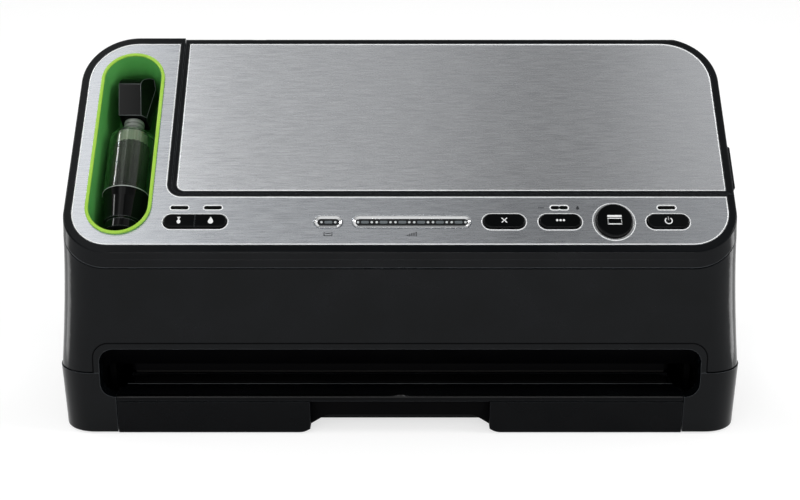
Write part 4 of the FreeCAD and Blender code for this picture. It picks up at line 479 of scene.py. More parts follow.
    # Woven glass tape with a dark non-stick coat
    GLASS_TAPE = Ribbed("woven_glass_tape", "#110e0b", "#0b0907", pitch=(0.9, 0.9, 0.9), roughness=0.55,
                        depth=0.1, specular=0.2)
    # Epoxy board with a solder mask, its tracks as a raised pattern
    BOARD = Ribbed("solder_masked_epoxy_board", "#1c5a33", "#123f24", pitch=(4.0, 2.0, 2.0), roughness=0.35,
                   depth=0.04)
    # Seamless studio paper
    PAPER = StudioPaper("white_studio_paper", "#fbfbfb", "#f8f8f9", "#b4b4b4", 0.66)


@dataclass(frozen=True)
class Bar:
    """A stroke of a mark: a bar with rounded corners, turned by some degrees."""

    middle: Span
    length: float
    width: float
    turn: float = 0.0

    def draw(self, shape: BMesh) -> None:
        """Add the bar to a drawing.

        Args:
            shape: the drawing so far.
        """
        verts = bmesh.ops.create_grid(shape, x_segments=1, y_segments=1, size=0.5)["verts"]
        bmesh.ops.scale(shape, verts=verts, vec=(self.length, self.width, 1.0))
        place = Matrix.Translation((*self.middle, 0.0)) @ Matrix.Rotation(math.radians(self.turn), 4, "Z")
        bmesh.ops.transform(shape, matrix=place, verts=verts)
        bmesh.ops.bevel(shape, geom=verts, offset=self.width * 0.4, offset_type="OFFSET", segments=3,
                        profile=0.5, affect="VERTICES", material=-1)


@dataclass(frozen=True)
class Disc:
    """A stroke of a mark: a filled disc."""

    middle: Span
    radius: float

    def draw(self, shape: BMesh) -> list[BMVert]:
        """Add the disc to a drawing.

        Args:
            shape: the drawing so far.

        Returns:
            The disc's corners.
        """
        verts = bmesh.ops.create_circle(shape, cap_ends=True, segments=24, radius=self.radius)["verts"]
        bmesh.ops.translate(shape, verts=verts, vec=(*self.middle, 0.0))
        return verts


@dataclass(frozen=True)
class Drop(Disc):
    """A disc about the origin whose upper half is drawn up to a point."""

    pinch: float = 0.75
    stretch: float = 0.9
    sink: float = 0.15

    def draw(self, shape: BMesh) -> list[BMVert]:
        """Add the drop to a drawing.

        Args:
            shape: the drawing so far.

        Returns:
            The drop's corners.
        """
        verts = super().draw(shape)
        for vert in verts:
            height = max(vert.co.y, 0.0) / self.radius
            vert.co.x *= 1.0 - self.pinch * height ** 2
            vert.co.y = vert.co.y * (1.0 + self.stretch * height) - self.sink
        return verts


@dataclass(frozen=True)
class Arc:
    """A stroke of a mark: part of a ring, from its start over its sweep, in degrees from the right."""

    middle: Span
    radius: float
    width: float
    start: float
    sweep: float

    def draw(self, shape: BMesh) -> None:
        """Add the arc to a drawing, by spinning a short edge.

        Args:
            shape: the drawing so far.
        """
        centre = Vector((*self.middle, 0.0))
        start = math.radians(self.start)
        way = Vector((math.cos(start), math.sin(start), 0.0))
        ends = [shape.verts.new(centre + way * (self.radius + side * self.width / 2)) for side in (-1, 1)]
        edge = shape.edges.new(ends)
        bmesh.ops.spin(shape, geom=ends + [edge], cent=centre, axis=(0.0, 0.0, 1.0),
                       angle=math.radians(self.sweep), steps=int(self.sweep / 10), use_merge=False)


def ray(turn: float, length: float) -> Span:
    """Give the place at some degrees from the right and some way out."""
    return (math.cos(math.radians(turn)) * length, math.sin(math.radians(turn)) * length)


class Mark(Enum):
    """Plain pictograms printed on the keys and the panel, in units of the mark's height."""

    # The usual power sign: an open ring with an upright bar
    POWER = (Arc((0.0, -0.06), 0.4, 0.13, 125.0, 290.0), Bar((0.0, 0.24), 0.13, 0.5))
    # Four short bars that meet in the middle, with a disc over the gap
    CROSS = (*(Bar(ray(turn, 0.29), 0.42, 0.14, turn) for turn in (45.0, 135.0, 225.0, 315.0)),
             Disc((0.0, 0.0), 0.09))
    DROP = (Drop((0.0, 0.0), 0.34),)
    # A bottle with a hose fitting: a body, a neck and a cap
    FLASK = (Bar((0.0, -0.2), 0.46, 0.58), Bar((0.0, 0.2), 0.22, 0.2), Bar((0.0, 0.41), 0.4, 0.14))
    DOTS = tuple(Disc((x, 0.0), 0.15) for x in (-0.42, 0.0, 0.42))
    # A bag's outline with a thick seal across its top
    BAG = (Bar((0.0, 0.36), 1.3, 0.2), Bar((0.0, 0.13), 1.3, 0.09), Bar((-0.6, -0.2), 0.1, 0.5),
           Bar((0.6, -0.2), 0.1, 0.5), Bar((0.0, -0.45), 1.3, 0.1))
    # A tray with a level line in it
    TRAY = (Bar((-0.72, 0.05), 0.15, 0.7), Bar((0.72, 0.05), 0.15, 0.7), Bar((0.0, -0.36), 1.6, 0.15),
            Bar((0.0, 0.1), 1.0, 0.15))
    # Bars on one line that grow to the right
    STEPS = tuple(Bar((x, tall / 2 - 0.45), 0.18, tall)
                  for x, tall in ((-0.8, 0.3), (-0.4, 0.45), (0.0, 0.6), (0.4, 0.75), (0.8, 0.9)))


class Workshop:
    """Holds the loaded frame and the materials made so far, and puts pieces into the scene."""

    def __init__(self) -> None:
        """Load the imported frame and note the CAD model's box."""
        self.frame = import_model()
        self.cad_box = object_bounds()
        self.materials: dict[Surface, Material] = {}

    def material(self, surface: Surface) -> Material:
        """Give a finish's material, made once."""
        if surface not in self.materials:
            self.materials[surface] = surface.value.material()
        return self.materials[surface]

    def paint(self, surface: Surface, *nodes: str) -> None:
        """Give CAD nodes a finish.

        Args:
            surface: the finish that they get.
            nodes: names of CAD nodes.
        """
        for name in nodes:
            mesh = self.frame["nodes"][name].data
            mesh.materials.clear()
            mesh.materials.append(self.material(surface))
            LOG.info("%s: %s", name, surface.value.name)

    def add(self, name: str, data: BMesh | Curve, surface: Surface, body: str = "", slot: str = "",
            node: str = "", smooth: bool = True) -> Object:
        """Put a new piece into the scene.

        Args:
            name: the piece's name.
            data: its curve, or a bmesh, which becomes its mesh and is freed.
            surface: its finish.
            body: the CAD body that it rides on, if it is part of the object.
            slot: the record's slot that its finish comes from, where one is named; not used.
            node: the CAD node that it replaces, if it does.
            smooth: whether a bmesh's faces shade smoothly.

        Returns:
            The new object.
        """
        if isinstance(data, BMesh):
            shape = data
            for face in shape.faces:
                face.smooth = smooth
            data = bpy.data.meshes.new(name)
            shape.to_mesh(data)
            shape.free()
        piece = bpy.data.objects.new(name, data)
        bpy.context.scene.collection.objects.link(piece)
        data.materials.append(self.material(surface))
        if body:
            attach(piece, body)
        if node:
            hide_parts(node)
        LOG.info("%s: %s", name, surface.value.name)
        return piece

    def add_hose(self, name: str, route: list[Vector], length: float, lay: str, body: str,
                 node: str) -> None:
        """Lay a piece of the black hose, which goes back into the object.

        Args:
            name: the piece's name.
            route: the points that steer it, in metres.
            length: its real length, in millimetres; not used.
            body: the CAD body that it rides on.
            node: the CAD node that it replaces.
        """
        curve = round_line(name, [route], HOSE_RADIUS, closed=False, kind="NURBS")
        curve.bevel_resolution = 5
        curve.resolution_u = 8
        curve.splines[0].order_u = 3
        curve.splines[0].use_endpoint_u = True
        hose = self.add(name, curve, Surface.HOSE_PVC, body, "hose_black", node)

    def copy(self, node: str, keep: FaceTest = lambda face: True) -> BMesh:
        """Copy a CAD node's mesh, with its loose triangles merged.

        Args:
            node: the CAD node.
            keep: says which of its faces are kept.

        Returns:
            The copy.
        """
        shape = bmesh.new()
        shape.from_mesh(self.frame["nodes"][node].data)
        bmesh.ops.remove_doubles(shape, verts=shape.verts[:], dist=MERGE)
        rest = [face for face in shape.faces if not keep(face)]
        bmesh.ops.delete(shape, geom=rest, context="FACES")
        return shape

    def skin(self, node: str, keep: FaceTest) -> BMesh:
        """Lay a thin skin over some of a CAD node's faces.

        Args:
            node: the CAD node.
            keep: says which of its faces get the skin.

        Returns:
            The closed skin, just proud of the node.
        """
        shape = self.copy(node, keep)
        shape.normal_update()
        outer = bmesh.ops.extrude_face_region(shape, geom=shape.faces[:])
        lifted = [part for part in outer["geom"] if isinstance(part, BMVert)]
        ways = [vert.normal.copy() for vert in lifted]
        for vert, way in zip(lifted, ways):
            vert.co += way * SKIN_WALL * MM
        bmesh.ops.recalc_face_normals(shape, faces=shape.faces[:])
        return shape

    def borders(self, node: str, keep: FaceTest) -> list[list[Vector]]:
        """Walk round each border of some of a CAD node's faces.

        Args:
            node: the CAD node.
            keep: says which of its faces count.

        Returns:
            For each closed border, its corners in order.
        """
        shape = self.copy(node, keep)
        left = dict.fromkeys(edge for edge in shape.edges if edge.is_boundary)
        walks = []
        while left:
            edge = next(iter(left))
            first, corner = edge.verts
            del left[edge]
            walk = [first.co.copy()]
            while corner is not first:
                walk.append(corner.co.copy())
                edge = next(link for link in corner.link_edges if link in left)
                del left[edge]
                corner = edge.other_vert(corner)
            walks.append(walk)
        shape.free()
        return walks

    def rounded(self, node: str, radius: float, sharp: float = 25.0, flat: float = 0.5) -> BMesh:
        """Copy a CAD node and round its sharp edges.

        Args:
            node: the CAD node.
            radius: how far the rounding reaches from each edge, in millimetres.
            sharp: the angle from which an edge is sharp, in degrees.
            flat: the angle up to which faces count as one, in degrees.

        Returns:
            The rounded copy.
        """
        shape = self.copy(node)
        bmesh.ops.dissolve_limit(shape, angle_limit=math.radians(flat), verts=shape.verts[:],
                                 edges=shape.edges[:])
        solid = [edge for edge in shape.edges if edge.is_manifold]
        edges = [edge for edge in solid if edge.calc_face_angle() > math.radians(sharp)]
        bmesh.ops.bevel(shape, geom=edges, offset=radius * MM, offset_type="OFFSET", segments=3, profile=0.5,
                        affect="EDGES", clamp_overlap=True, material=-1)
        return shape


def turned(profile: list[Span], steps: int) -> BMesh:
    """Turn a closed half section about the Y axis.

    Args:
        profile: corners as radius and place along the axis, in millimetres.
        steps: how many facets the turn has.

    Returns:
        The closed ring, in metres.
    """
    shape = bmesh.new()
    corners = [shape.verts.new(Vector((radius, along, 0.0)) * MM) for radius, along in profile]
    edges = [shape.edges.new(pair) for pair in zip(corners, corners[1:] + corners[:1])]
    bmesh.ops.spin(shape, geom=corners + edges, cent=(0.0, 0.0, 0.0), axis=(0.0, 1.0, 0.0),
                   angle=2 * math.pi, steps=steps, use_merge=True)
    bmesh.ops.remove_doubles(shape, verts=shape.verts[:], dist=MERGE)
    bmesh.ops.recalc_face_normals(shape, faces=shape.faces[:])
    return shape


def box_profile(radii: Span, ends: Span) -> list[Span]:
    """Give the half section of a plain ring: its inner and outer radius, between its two ends."""
    return [(radii[0], ends[0]), (radii[1], ends[0]), (radii[1], ends[1]), (radii[0], ends[1])]


def round_line(name: str, routes: list[list[Vector]], radius: float, closed: bool = True,
               kind: str = "POLY") -> Curve:
    """Make a thin round line along some routes.

    Args:
        name: the curve's name.
        routes: the points of each route, in metres.
        radius: the line's radius, in millimetres.
        closed: whether each route comes back to its first point.
        kind: the kind of spline.

    Returns:
        A curve with one spline for each route.
    """
    curve = bpy.data.curves.new(name, "CURVE")
    curve.dimensions = "3D"
    curve.bevel_depth = radius * MM
    curve.bevel_resolution = 2
    curve.use_fill_caps = not closed
    for route in routes:
        spline = curve.splines.new(kind)
        spline.points.add(len(route) - 1)
        for point, place in zip(spline.points, route):
            point.co = (*place, 1.0)
        spline.use_cyclic_u = closed
        spline.use_smooth = True
    return curve


@dataclass
class SlopingPanel:
    """The 45 degree top, with places on it in millimetres across, up the slope and out of it."""

    front: float = -114.9 * MM
    height: float = 121.0 * MM

    def matrix(self) -> Matrix:
        """Give the turn and shift from panel places to the row frame."""
        return Matrix.Translation((0.0, self.front, self.height)) @ Matrix.Rotation(SLOPE, 4, "X")

    def out(self) -> Vector:
        """Give the direction out of the panel."""
        return self.matrix().to_3x3() @ Vector((0.0, 0.0, 1.0))

    def point(self, across: float, up: float, out: float) -> Vector:
        """Give a panel place, in millimetres, as a point in the row frame."""
        return self.matrix() @ Vector((across * MM, up * MM, out * MM))


@dataclass(frozen=True)
class Lamp:
    """A soft lamp: its place, its length and width in metres, and its power in watts."""

    name: str
    place: Place
    size: Span
    power: float

    def hang(self, aim: Place) -> None:
        """Put the lamp up, with its length level.

        Args:
            aim: the point that it looks at.
        """
        light = bpy.data.lights.new(self.name, "AREA")
        light.shape = "RECTANGLE"
        light.size = self.size[0]
        light.size_y = self.size[1]
        light.energy = self.power
        lamp = bpy.data.objects.new(self.name, light)
        lamp.location = self.place
        way = Vector(aim) - Vector(self.place)
        lamp.rotation_euler = way.to_track_quat("-Z", "Y").to_euler()
        bpy.context.scene.collection.objects.link(lamp)


@dataclass
class Studio:
    """White paper floor, soft light from above and the photograph's camera."""

    lens: float = 58.5
    sensor: float = 36.0
    nearest: float = 0.01
    pitch: float = 16.5
    station: Place = (0.0, -0.8844, 0.3502)
    floor_half: float = 9.0
    aim: Place = (0.0, 0.0, 0.1)
    lamps: tuple[Lamp, ...] = (
        Lamp("strip_lamp", (-1.26, 0.1, 1.2), (1.2, 0.1), 7.0),
        Lamp("rim_lamp", (0.36, -0.05, 0.065), (0.06, 0.11), 0.09),
        Lamp("left_rim_lamp", (-0.36, -0.05, 0.065), (0.06, 0.11), 0.06),
        Lamp("right_lamp", (1.3, -0.35, 1.0), (0.35, 0.35), 5.0),
        Lamp("fill_lamp", (-0.5, -1.4, 1.7), (1.2, 1.2), 4.0),
        Lamp("front_lamp", (0.0, -1.0, 0.1), (0.8, 0.05), 1.1))
    horizon: float = 0.9
    sky_level: float = 1.8
    sky_end: float = 0.8
    # The ceiling's light by how far a direction points to the right
    ceiling: tuple[Span, ...] = (
        (-0.8, 0.4), (-0.5, 0.5), (-0.35, 1.1), (-0.28, 1.8), (-0.21, 1.8), (-0.185, 0.8), (-0.15, 0.48),
        (-0.1, 0.53), (0.0, 0.54), (0.06, 0.42), (0.1, 0.34), (0.14, 0.2), (0.165, 0.4), (0.19, 0.6),
        (0.23, 0.8), (0.8, 0.75))

    def build(self, shop: Workshop) -> None:
        """Make the camera, floor, lamps and sky.

        Args:
            shop: where the floor's finish comes from.
        """
        scene = bpy.context.scene
        scene.view_settings.view_transform = "Standard"
        optics = bpy.data.cameras.new("camera")
        optics.lens = self.lens
        optics.sensor_width = self.sensor
        optics.clip_start = self.nearest
        camera = bpy.data.objects.new("camera", optics)
        camera.location = self.station
        camera.rotation_euler = (math.radians(90.0 - self.pitch), 0.0, 0.0)
        scene.collection.objects.link(camera)
        scene.camera = camera
        shape = bmesh.new()
        bmesh.ops.create_grid(shape, x_segments=2, y_segments=2, size=self.floor_half)
        shop.add("studio_floor", shape, Surface.PAPER)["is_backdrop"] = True
        for lamp in self.lamps:
            lamp.hang(self.aim)
        self.sky()

    def sky(self) -> None:
        """Light the room: white round the horizon, and a ceiling bright on the left and dim in front."""
        world = bpy.data.worlds.new("studio")
        world.use_nodes = True
        tree = world.node_tree
        tree.nodes.clear()
        way = add_node(tree, "TexCoord").outputs["Generated"]
        split = add_node(tree, "SeparateXYZ", {"Vector": way}).outputs
        end = self.sky_end
        across = add_node(tree, "MapRange", {"Value": split["X"], "From Min": -end, "From Max": end})
        levels = [((x + end) / (2 * end), level / self.sky_level) for x, level in self.ceiling]
        stops = [(at, (level, level, level, 1.0)) for at, level in levels]
        ceiling = add_node(tree, "ValToRGB", {"Fac": across.outputs["Result"]}, stops)
        inputs = {"Value": split["Y"], "From Min": -0.45, "From Max": 0.0, "To Min": 0.34, "To Max": 1.24}
        depth = add_node(tree, "MapRange", inputs)
        inputs = {0: ceiling.outputs["Color"], "Scale": depth.outputs["Result"]}
        shaded = add_node(tree, "VectorMath", inputs, operation="SCALE")
        inputs = {"Value": split["Z"], "From Min": 0.25, "From Max": 0.65}
        height = add_node(tree, "MapRange", inputs, interpolation_type="SMOOTHSTEP")
        level = self.horizon / self.sky_level
        inputs = {"Factor": height.outputs["Result"], "A": (level, level, level, 1.0),
                  "B": shaded.outputs["Vector"]}
        room = add_node(tree, "Mix", inputs, data_type="RGBA")
        inputs = {"Color": room.outputs["Result"], "Strength": self.sky_level}
        shade = add_node(tree, "Background", inputs)
        add_node(tree, "OutputWorld", {"Surface": shade.outputs["Background"]})
        bpy.context.scene.world = world


@dataclass
class SubAssembly:
    """A group of pieces that belong together, and the workshop that holds their frame and finishes."""

    shop: Workshop

    def dress(self) -> None:
        """Give the pieces their finishes and add the finer ones; each group has its own way."""
        raise NotImplementedError


@dataclass
class HandheldSealer(SubAssembly):
    """The small sealer in its green pocket, and the hose that it hangs on."""

    panel: SlopingPanel
    pocket_x: float = -177.5
    hose_up: float = 132.0
    hose_depths: Place = (141.0, 85.0, 29.0)
    axis_depth: float = 18.0
    tank_start: float = 50.0
    tank_radius: float = 15.0
    tank_bead: float = 0.25
    sleeve_end: float = 87.6
    sleeve_radius: float = 11.2
    sleeve_gap: float = 0.2
    paper: float = 0.2
    pleats: int = 22
    pleat_depth: float = 0.05
    collar_start: float = 98.5
    collar_end: float = 107.5
    collar_radius: float = 6.45
    collar_wall: float = 0.02
    ridges: int = 3
    ridge_lift: float = 0.4
    head_round: float = 0.25
    head_edge_highlight: float = 0.19

    def dress(self) -> None:
        """Give the pocket and the handheld their finishes and make the hose."""
        self.shop.paint(Surface.GREEN_PP, "accessory_pocket")
        self.shop.paint(Surface.LIME_ABS, "pocket_rim")
        self.shop.paint(Surface.HAND_ABS, "handheld_cup")
        self.shop.paint(Surface.RUBBER, "suction_ring")
        self.shop.paint(Surface.CLEAR_SAN, "handheld_reservoir")
        self.shop.paint(Surface.FILTER_PE, "handheld_filter")
        self.head_shell()
        self.neck_collar()
        self.filter_sleeve()
        self.tank_edge_highlight()
        route = [self.panel.point(self.pocket_x, self.hose_up, -depth) for depth in self.hose_depths]
        length = self.hose_depths[0] - self.hose_depths[-1]
        self.shop.add_hose("handheld_hose_tube", route, length, "taut", "handheld", "handheld_hose")

    def frame(self) -> Matrix:
        """Give the turn and shift from the handheld's axis, along Y, to the row frame."""
        shift = Matrix.Translation((self.pocket_x * MM, 0.0, -self.axis_depth * MM))
        return self.panel.matrix() @ shift

    def head_shell(self) -> None:
        """Round the head's edges, and run pale lines, painted highlights, along those of its face and its
        right facet.
        """
        head = "handheld_head"
        shape = self.shop.rounded(head, self.head_round)
        shell = self.shop.add("head_shell", shape, Surface.HAND_ABS, "handheld", "black_gloss", head)
        shell.modifiers.new("flat_faces", "WEIGHTED_NORMAL").weight = 100
        out = self.panel.out()
        # Pale lines along the borders of the face and the facet: painted highlights
        face = self.shop.borders(head, lambda side: side.normal.dot(out) > 0.99)
        right = self.shop.borders(
            head, lambda side: side.normal.x > 0.3 and 0.5 < side.normal.dot(out) < 0.9)
        painted_light_line = round_line("head_edge_highlight", face + right, self.head_edge_highlight)
        self.shop.add("head_edge_highlight", painted_light_line, Surface.EDGE_HIGHLIGHT_ABS, "handheld", "black_gloss")

    def neck_collar(self) -> None:
        """Turn the collar round the neck: ridges with grooves between them."""
        radius = self.collar_radius
        top = radius + self.ridge_lift
        length = self.collar_end - self.collar_start
        profile = [(radius, self.collar_start)]
        for ridge in range(self.ridges):
            for share, reach in ((0.02, radius), (0.1, top), (0.24, top), (0.31, radius)):
                profile.append((reach, self.collar_start + length * (ridge / self.ridges + share)))
        profile.append((radius, self.collar_end))
        inner = radius - self.collar_wall
        shape = turned(profile + [(inner, self.collar_end), (inner, self.collar_start)], 48)
        bmesh.ops.transform(shape, matrix=self.frame(), verts=shape.verts[:])
        self.shop.add("neck_collar", shape, Surface.NECK_POM, "handheld")

    def filter_sleeve(self) -> None:
        """Fold the filter paper round its tube: a ring of pleats, drawn up and given a thickness."""
        shape = bmesh.new()
        bmesh.ops.create_circle(shape, segments=2 * self.pleats, radius=self.sleeve_radius * MM)
        for index, vert in enumerate(shape.verts):
            vert.co *= 1.0 + self.pleat_depth * (-1) ** index
        wall = bmesh.ops.extrude_edge_only(shape, edges=shape.edges[:])
        top = [part for part in wall["geom"] if isinstance(part, BMVert)]
        height = self.sleeve_end - self.tank_start - 2 * self.sleeve_gap
        bmesh.ops.translate(shape, verts=top, vec=(0.0, 0.0, height * MM))
        bmesh.ops.recalc_face_normals(shape, faces=shape.faces[:])
        bmesh.ops.solidify(shape, geom=shape.faces[:], thickness=self.paper * MM)
        foot = Matrix.Translation((0.0, (self.tank_start + self.sleeve_gap) * MM, 0.0))
        stand = foot @ Matrix.Rotation(-math.pi / 2, 4, "X")
        bmesh.ops.transform(shape, matrix=self.frame() @ stand, verts=shape.verts[:])
        self.shop.add("filter_sleeve", shape, Surface.PLEAT_PAPER, "handheld", smooth=False)

    def tank_edge_highlight(self) -> None:
        """Turn a thin pale ring where the tank meets the cup: a painted highlight along that edge."""
        bead = self.tank_bead
        radii = (self.tank_radius - bead, self.tank_radius + bead / 2)
        shape = turned(box_profile(radii, (self.tank_start - bead, self.tank_start + bead)), 64)
        bmesh.ops.transform(shape, matrix=self.frame(), verts=shape.verts[:])
        self.shop.add("tank_edge_highlight", shape, Surface.COLLAR_POM, "handheld")


@dataclass
class HoseReel(SubAssembly):
    """The reel behind the pocket, with the spare hose wound on it."""

    middle: Place = (-177.5, 53.4, 89.88)
    wind_radius: float = 28.35
    pitch: float = 6.5
    turns: int = 2
    steps: int = 24

    def dress(self) -> None:
        """Give the reel its finishes and wind the hose."""
        self.shop.paint(Surface.MATT_ABS, "hose_reel", "reel_bracket")
        self.shop.paint(Surface.STEEL, "reel_axle")
        x, y, z = self.middle
        route = []
        for step in range(self.steps * self.turns + 1):
            turn = step / self.steps
            angle = 2 * math.pi * turn
            across = x + (turn - self.turns / 2) * self.pitch
            deep = y + self.wind_radius * math.cos(angle)
            high = z + self.wind_radius * math.sin(angle)
            route.append(Vector((across, deep, high)) * MM)
        length = 2 * math.pi * self.wind_radius * self.turns
        self.shop.add_hose("wound_hose_turns", route, length, "coiled", "reel", "wound_hose")


@dataclass
class Shell(SubAssembly):
    """Base, upper housing, top cover and what stands or goes through them, with the slot frame's gap."""

    seam_z: float = 42.4
    groove_y: float = -105.0
    slot_z: float = 42.0
    shadow_line_radius: float = 0.5
    shadow_line_sink: float = 0.3

    def in_groove(self, face: BMFace) -> bool:
        """Say whether a face of the base lies in the gap between the slot's frame and the upper housing.

        Args:
            face: the face.

        Returns:
            True where it does: above the seam, in front, and facing away from the slot's middle.
        """
        middle = face.calc_center_median() / MM
        away = face.normal.x * middle.x + face.normal.z * (middle.z - self.slot_z)
        in_front = middle.y < self.groove_y and middle.z > self.seam_z
        return in_front and abs(face.normal.y) < 0.5 and away > 1.0

    def dress(self) -> None:
        """Give the shell its finishes, and run a dark line along the front of the gap as painted shadow."""
        walk = self.shop.borders("base_housing", self.in_groove)[0]
        middle = (min(corner.y for corner in walk) + max(corner.y for corner in walk)) / 2
        rear = next(index for index, corner in enumerate(walk) if corner.y > middle)
        sink = Vector((0.0, self.shadow_line_sink * MM, 0.0))
        front = [corner + sink for corner in walk[rear:] + walk[:rear] if corner.y < middle]
        # A matt black line in the gap: painted shadow
        painted_light_line = round_line("frame_gap_shadow", [front], self.shadow_line_radius, closed=False)
        self.shop.add("frame_gap_shadow", painted_light_line, Surface.MATT_ABS, "housing", "black_matte")
        self.shop.paint(Surface.GLOSS_ABS, "base_housing", "top_cover")
        self.shop.paint(Surface.UPPER_ABS, "upper_housing")
        self.shop.paint(Surface.RUBBER, "rubber_feet")
        self.shop.paint(Surface.STEEL, "base_screws")
        self.shop.paint(Surface.MATT_ABS, "cord_inlet")


@dataclass
class SteelTop(SubAssembly):
    """Brushed plates with near-white lines on their bevelled edges as painted highlights, and the lid's
    frame and hinge.
    """

    panel: SlopingPanel
    edge_radius: float = 0.42
    framed_x: Place = (-177.5, -44.85, 7.35)

    def dress(self) -> None:
        """Give the top its finishes, and lay near-white beads on the plates' bevelled edges as painted
        highlights.
        """
        out = self.panel.out()
        for plate, body in (("control_plate", "housing"), ("lid_plate", "lid")):
            # Near-white beads round the plates and holes: painted highlights on their bevels
            borders = self.shop.borders(plate, lambda face: face.normal.dot(out) > 0.99)
            bare = [walk for walk in borders if not self.framed(walk)]
            painted_light_line = round_line(plate + "_edge", bare, self.edge_radius)
            self.shop.add(plate + "_edge", painted_light_line, Surface.EDGE_HIGHLIGHT_STEEL, body, "brushed_steel")
        self.shop.paint(Surface.PANEL_STEEL, "control_plate")
        self.shop.paint(Surface.LID_STEEL, "lid_plate")
        self.shop.paint(Surface.GLOSS_ABS, "lid_frame")
        self.shop.paint(Surface.STEEL, "lid_hinge_pins")

    def framed(self, walk: list[Vector]) -> bool:
        """Say whether a border goes round the pocket or a window, which have frames of their own.

        Args:
            walk: the border's corners.

        Returns:
            True where its middle is that of the pocket or a window.
        """
        places = [corner.x / MM for corner in walk]
        middle = (min(places) + max(places)) / 2
        return any(abs(middle - x) < 1.0 for x in self.framed_x)


@dataclass
class RollCompartment(SubAssembly):
    """The bin under the lid and its bag cutter."""

    def dress(self) -> None:
        """Give the compartment its finishes."""
        self.shop.paint(Surface.MATT_ABS, "roll_bin", "cutter_rail")
        self.shop.paint(Surface.KEY_ABS, "cutter_carriage")
        self.shop.paint(Surface.STEEL, "cutter_blade")


@dataclass
class ControlRow(SubAssembly):
    """Keys, windows and lamp bars along the panel, with a printed mark on each key and by each window."""

    panel: SlopingPanel
    row: float = 21.6
    lamp_row: float = 31.8
    caption_row: float = 12.9
    pair_x: float = -128.25
    pair_step: float = 9.975
    tray_x: float = -44.85
    tray_lens: float = 13.8
    progress_x: float = 7.35
    progress_lens: float = 70.4
    progress_cells: int = 6
    cancel_x: float = 65.15
    food_x: float = 100.25
    level_step: float = 11.5
    seal_x: float = 133.95
    power_x: float = 167.75
    key_rise: float = 1.8
    seal_rise: float = 2.6
    plate_out: float = -0.3
    lens_out: float = -0.8
    ink: float = 0.04
    pad: Span = (5.0, 1.9)
    spot_step: float = 4.3
    spot_radius: float = 0.8

    def dress(self) -> None:
        """Give the controls their finishes and print their marks."""
        self.shop.paint(Surface.CHROME, "seal_trim_ring", "window_frames")
        self.shop.paint(Surface.SMOKE_LENS, "tray_full_window", "progress_window")
        self.shop.paint(Surface.LIGHT_LENS, "indicator_lights")
        self.shop.paint(Surface.BOARD, "control_board")
        self.shop.paint(Surface.MATT_ABS, "key_switches")
        keys = (("accessory", Mark.FLASK, self.pair_x - self.pair_step, self.key_rise, 5.0),
                ("marinate", Mark.DROP, self.pair_x + self.pair_step, self.key_rise, 5.0),
                ("cancel", Mark.CROSS, self.cancel_x, self.key_rise, 4.8),
                ("food", Mark.DOTS, self.food_x, self.key_rise, 5.0),
                ("seal", Mark.BAG, self.seal_x, self.seal_rise, 7.0),
                ("power", Mark.POWER, self.power_x, self.key_rise, 5.4))
        for key, mark, x, rise, size in keys:
            self.shop.paint(Surface.KEY_ABS, key + "_button")
            at = (x, self.row, rise)
            self.print_film(key + "_mark", mark.value, size, at, Surface.WHITE_INK, key + "_key")
        self.print_lamps("tray_full", self.tray_x, self.tray_lens, 1)
        self.print_lamps("progress", self.progress_x, self.progress_lens, self.progress_cells)
        captions = (("tray_full", Mark.TRAY, self.tray_x, self.caption_row, 3.4),
                    ("progress", Mark.STEPS, self.progress_x, self.caption_row, 3.4),
                    ("dry", Mark.DOTS, self.food_x - self.level_step, self.lamp_row, 3.0),
                    ("moist", Mark.DROP, self.food_x + self.level_step, self.lamp_row, 3.0))
        for caption, mark, x, up, size in captions:
            at = (x, up, self.plate_out)
            self.print_film(caption + "_mark", mark.value, size, at, Surface.DARK_INK)

    def print_film(self, name: str, strokes: Iterable[Bar | Disc | Arc], size: float,
                   at: Place, surface: Surface, body: str = "housing") -> None:
        """Lay a flat drawing on the panel as a thin film.

        Args:
            name: the piece's name.
            strokes: the drawing.
            size: the length of the drawing's unit, in millimetres.
            at: its middle on the panel, in millimetres.
            surface: its finish.
            body: the CAD body that it rides on.
        """
        shape = bmesh.new()
        for stroke in strokes:
            stroke.draw(shape)
        bmesh.ops.scale(shape, verts=shape.verts[:], vec=(size, size, size))
        for face in shape.faces:
            if face.normal.z < 0:
                face.normal_flip()
        film = bmesh.ops.extrude_face_region(shape, geom=shape.faces[:])
        top = [part for part in film["geom"] if isinstance(part, BMVert)]
        bmesh.ops.translate(shape, verts=top, vec=(0.0, 0.0, self.ink))
        bmesh.ops.recalc_face_normals(shape, faces=shape.faces[:])
        bmesh.ops.translate(shape, verts=shape.verts[:], vec=at)
        bmesh.ops.scale(shape, verts=shape.verts[:], vec=(MM, MM, MM))
        bmesh.ops.transform(shape, matrix=self.panel.matrix(), verts=shape.verts[:])
        self.shop.add(name, shape, surface, body, smooth=False)

    def print_lamps(self, window: str, x: float, length: float, cells: int) -> None:
        """Put the diffusers on a window's lens: a pad in each cell, between two spots.

        Args:
            window: the window's name.
            x: its middle across the panel, in millimetres.
            length: the lens's length, in millimetres.
            cells: how many cells it has.
        """
        middles = [(cell + 0.5) * length / cells - length / 2 for cell in range(cells)]
        pads = [Bar((middle, 0.0), *self.pad) for middle in middles]
        places = [middle + side * self.spot_step for middle in middles for side in (-1, 1)]
        spots = [Disc((place, 0.0), self.spot_radius) for place in places]
        at = (x, self.row, self.lens_out)
        self.print_film(window + "_pads", pads, 1.0, at, Surface.PAD_ACRYLIC)
        self.print_film(window + "_spots", spots, 1.0, at, Surface.SPOT_ACRYLIC)


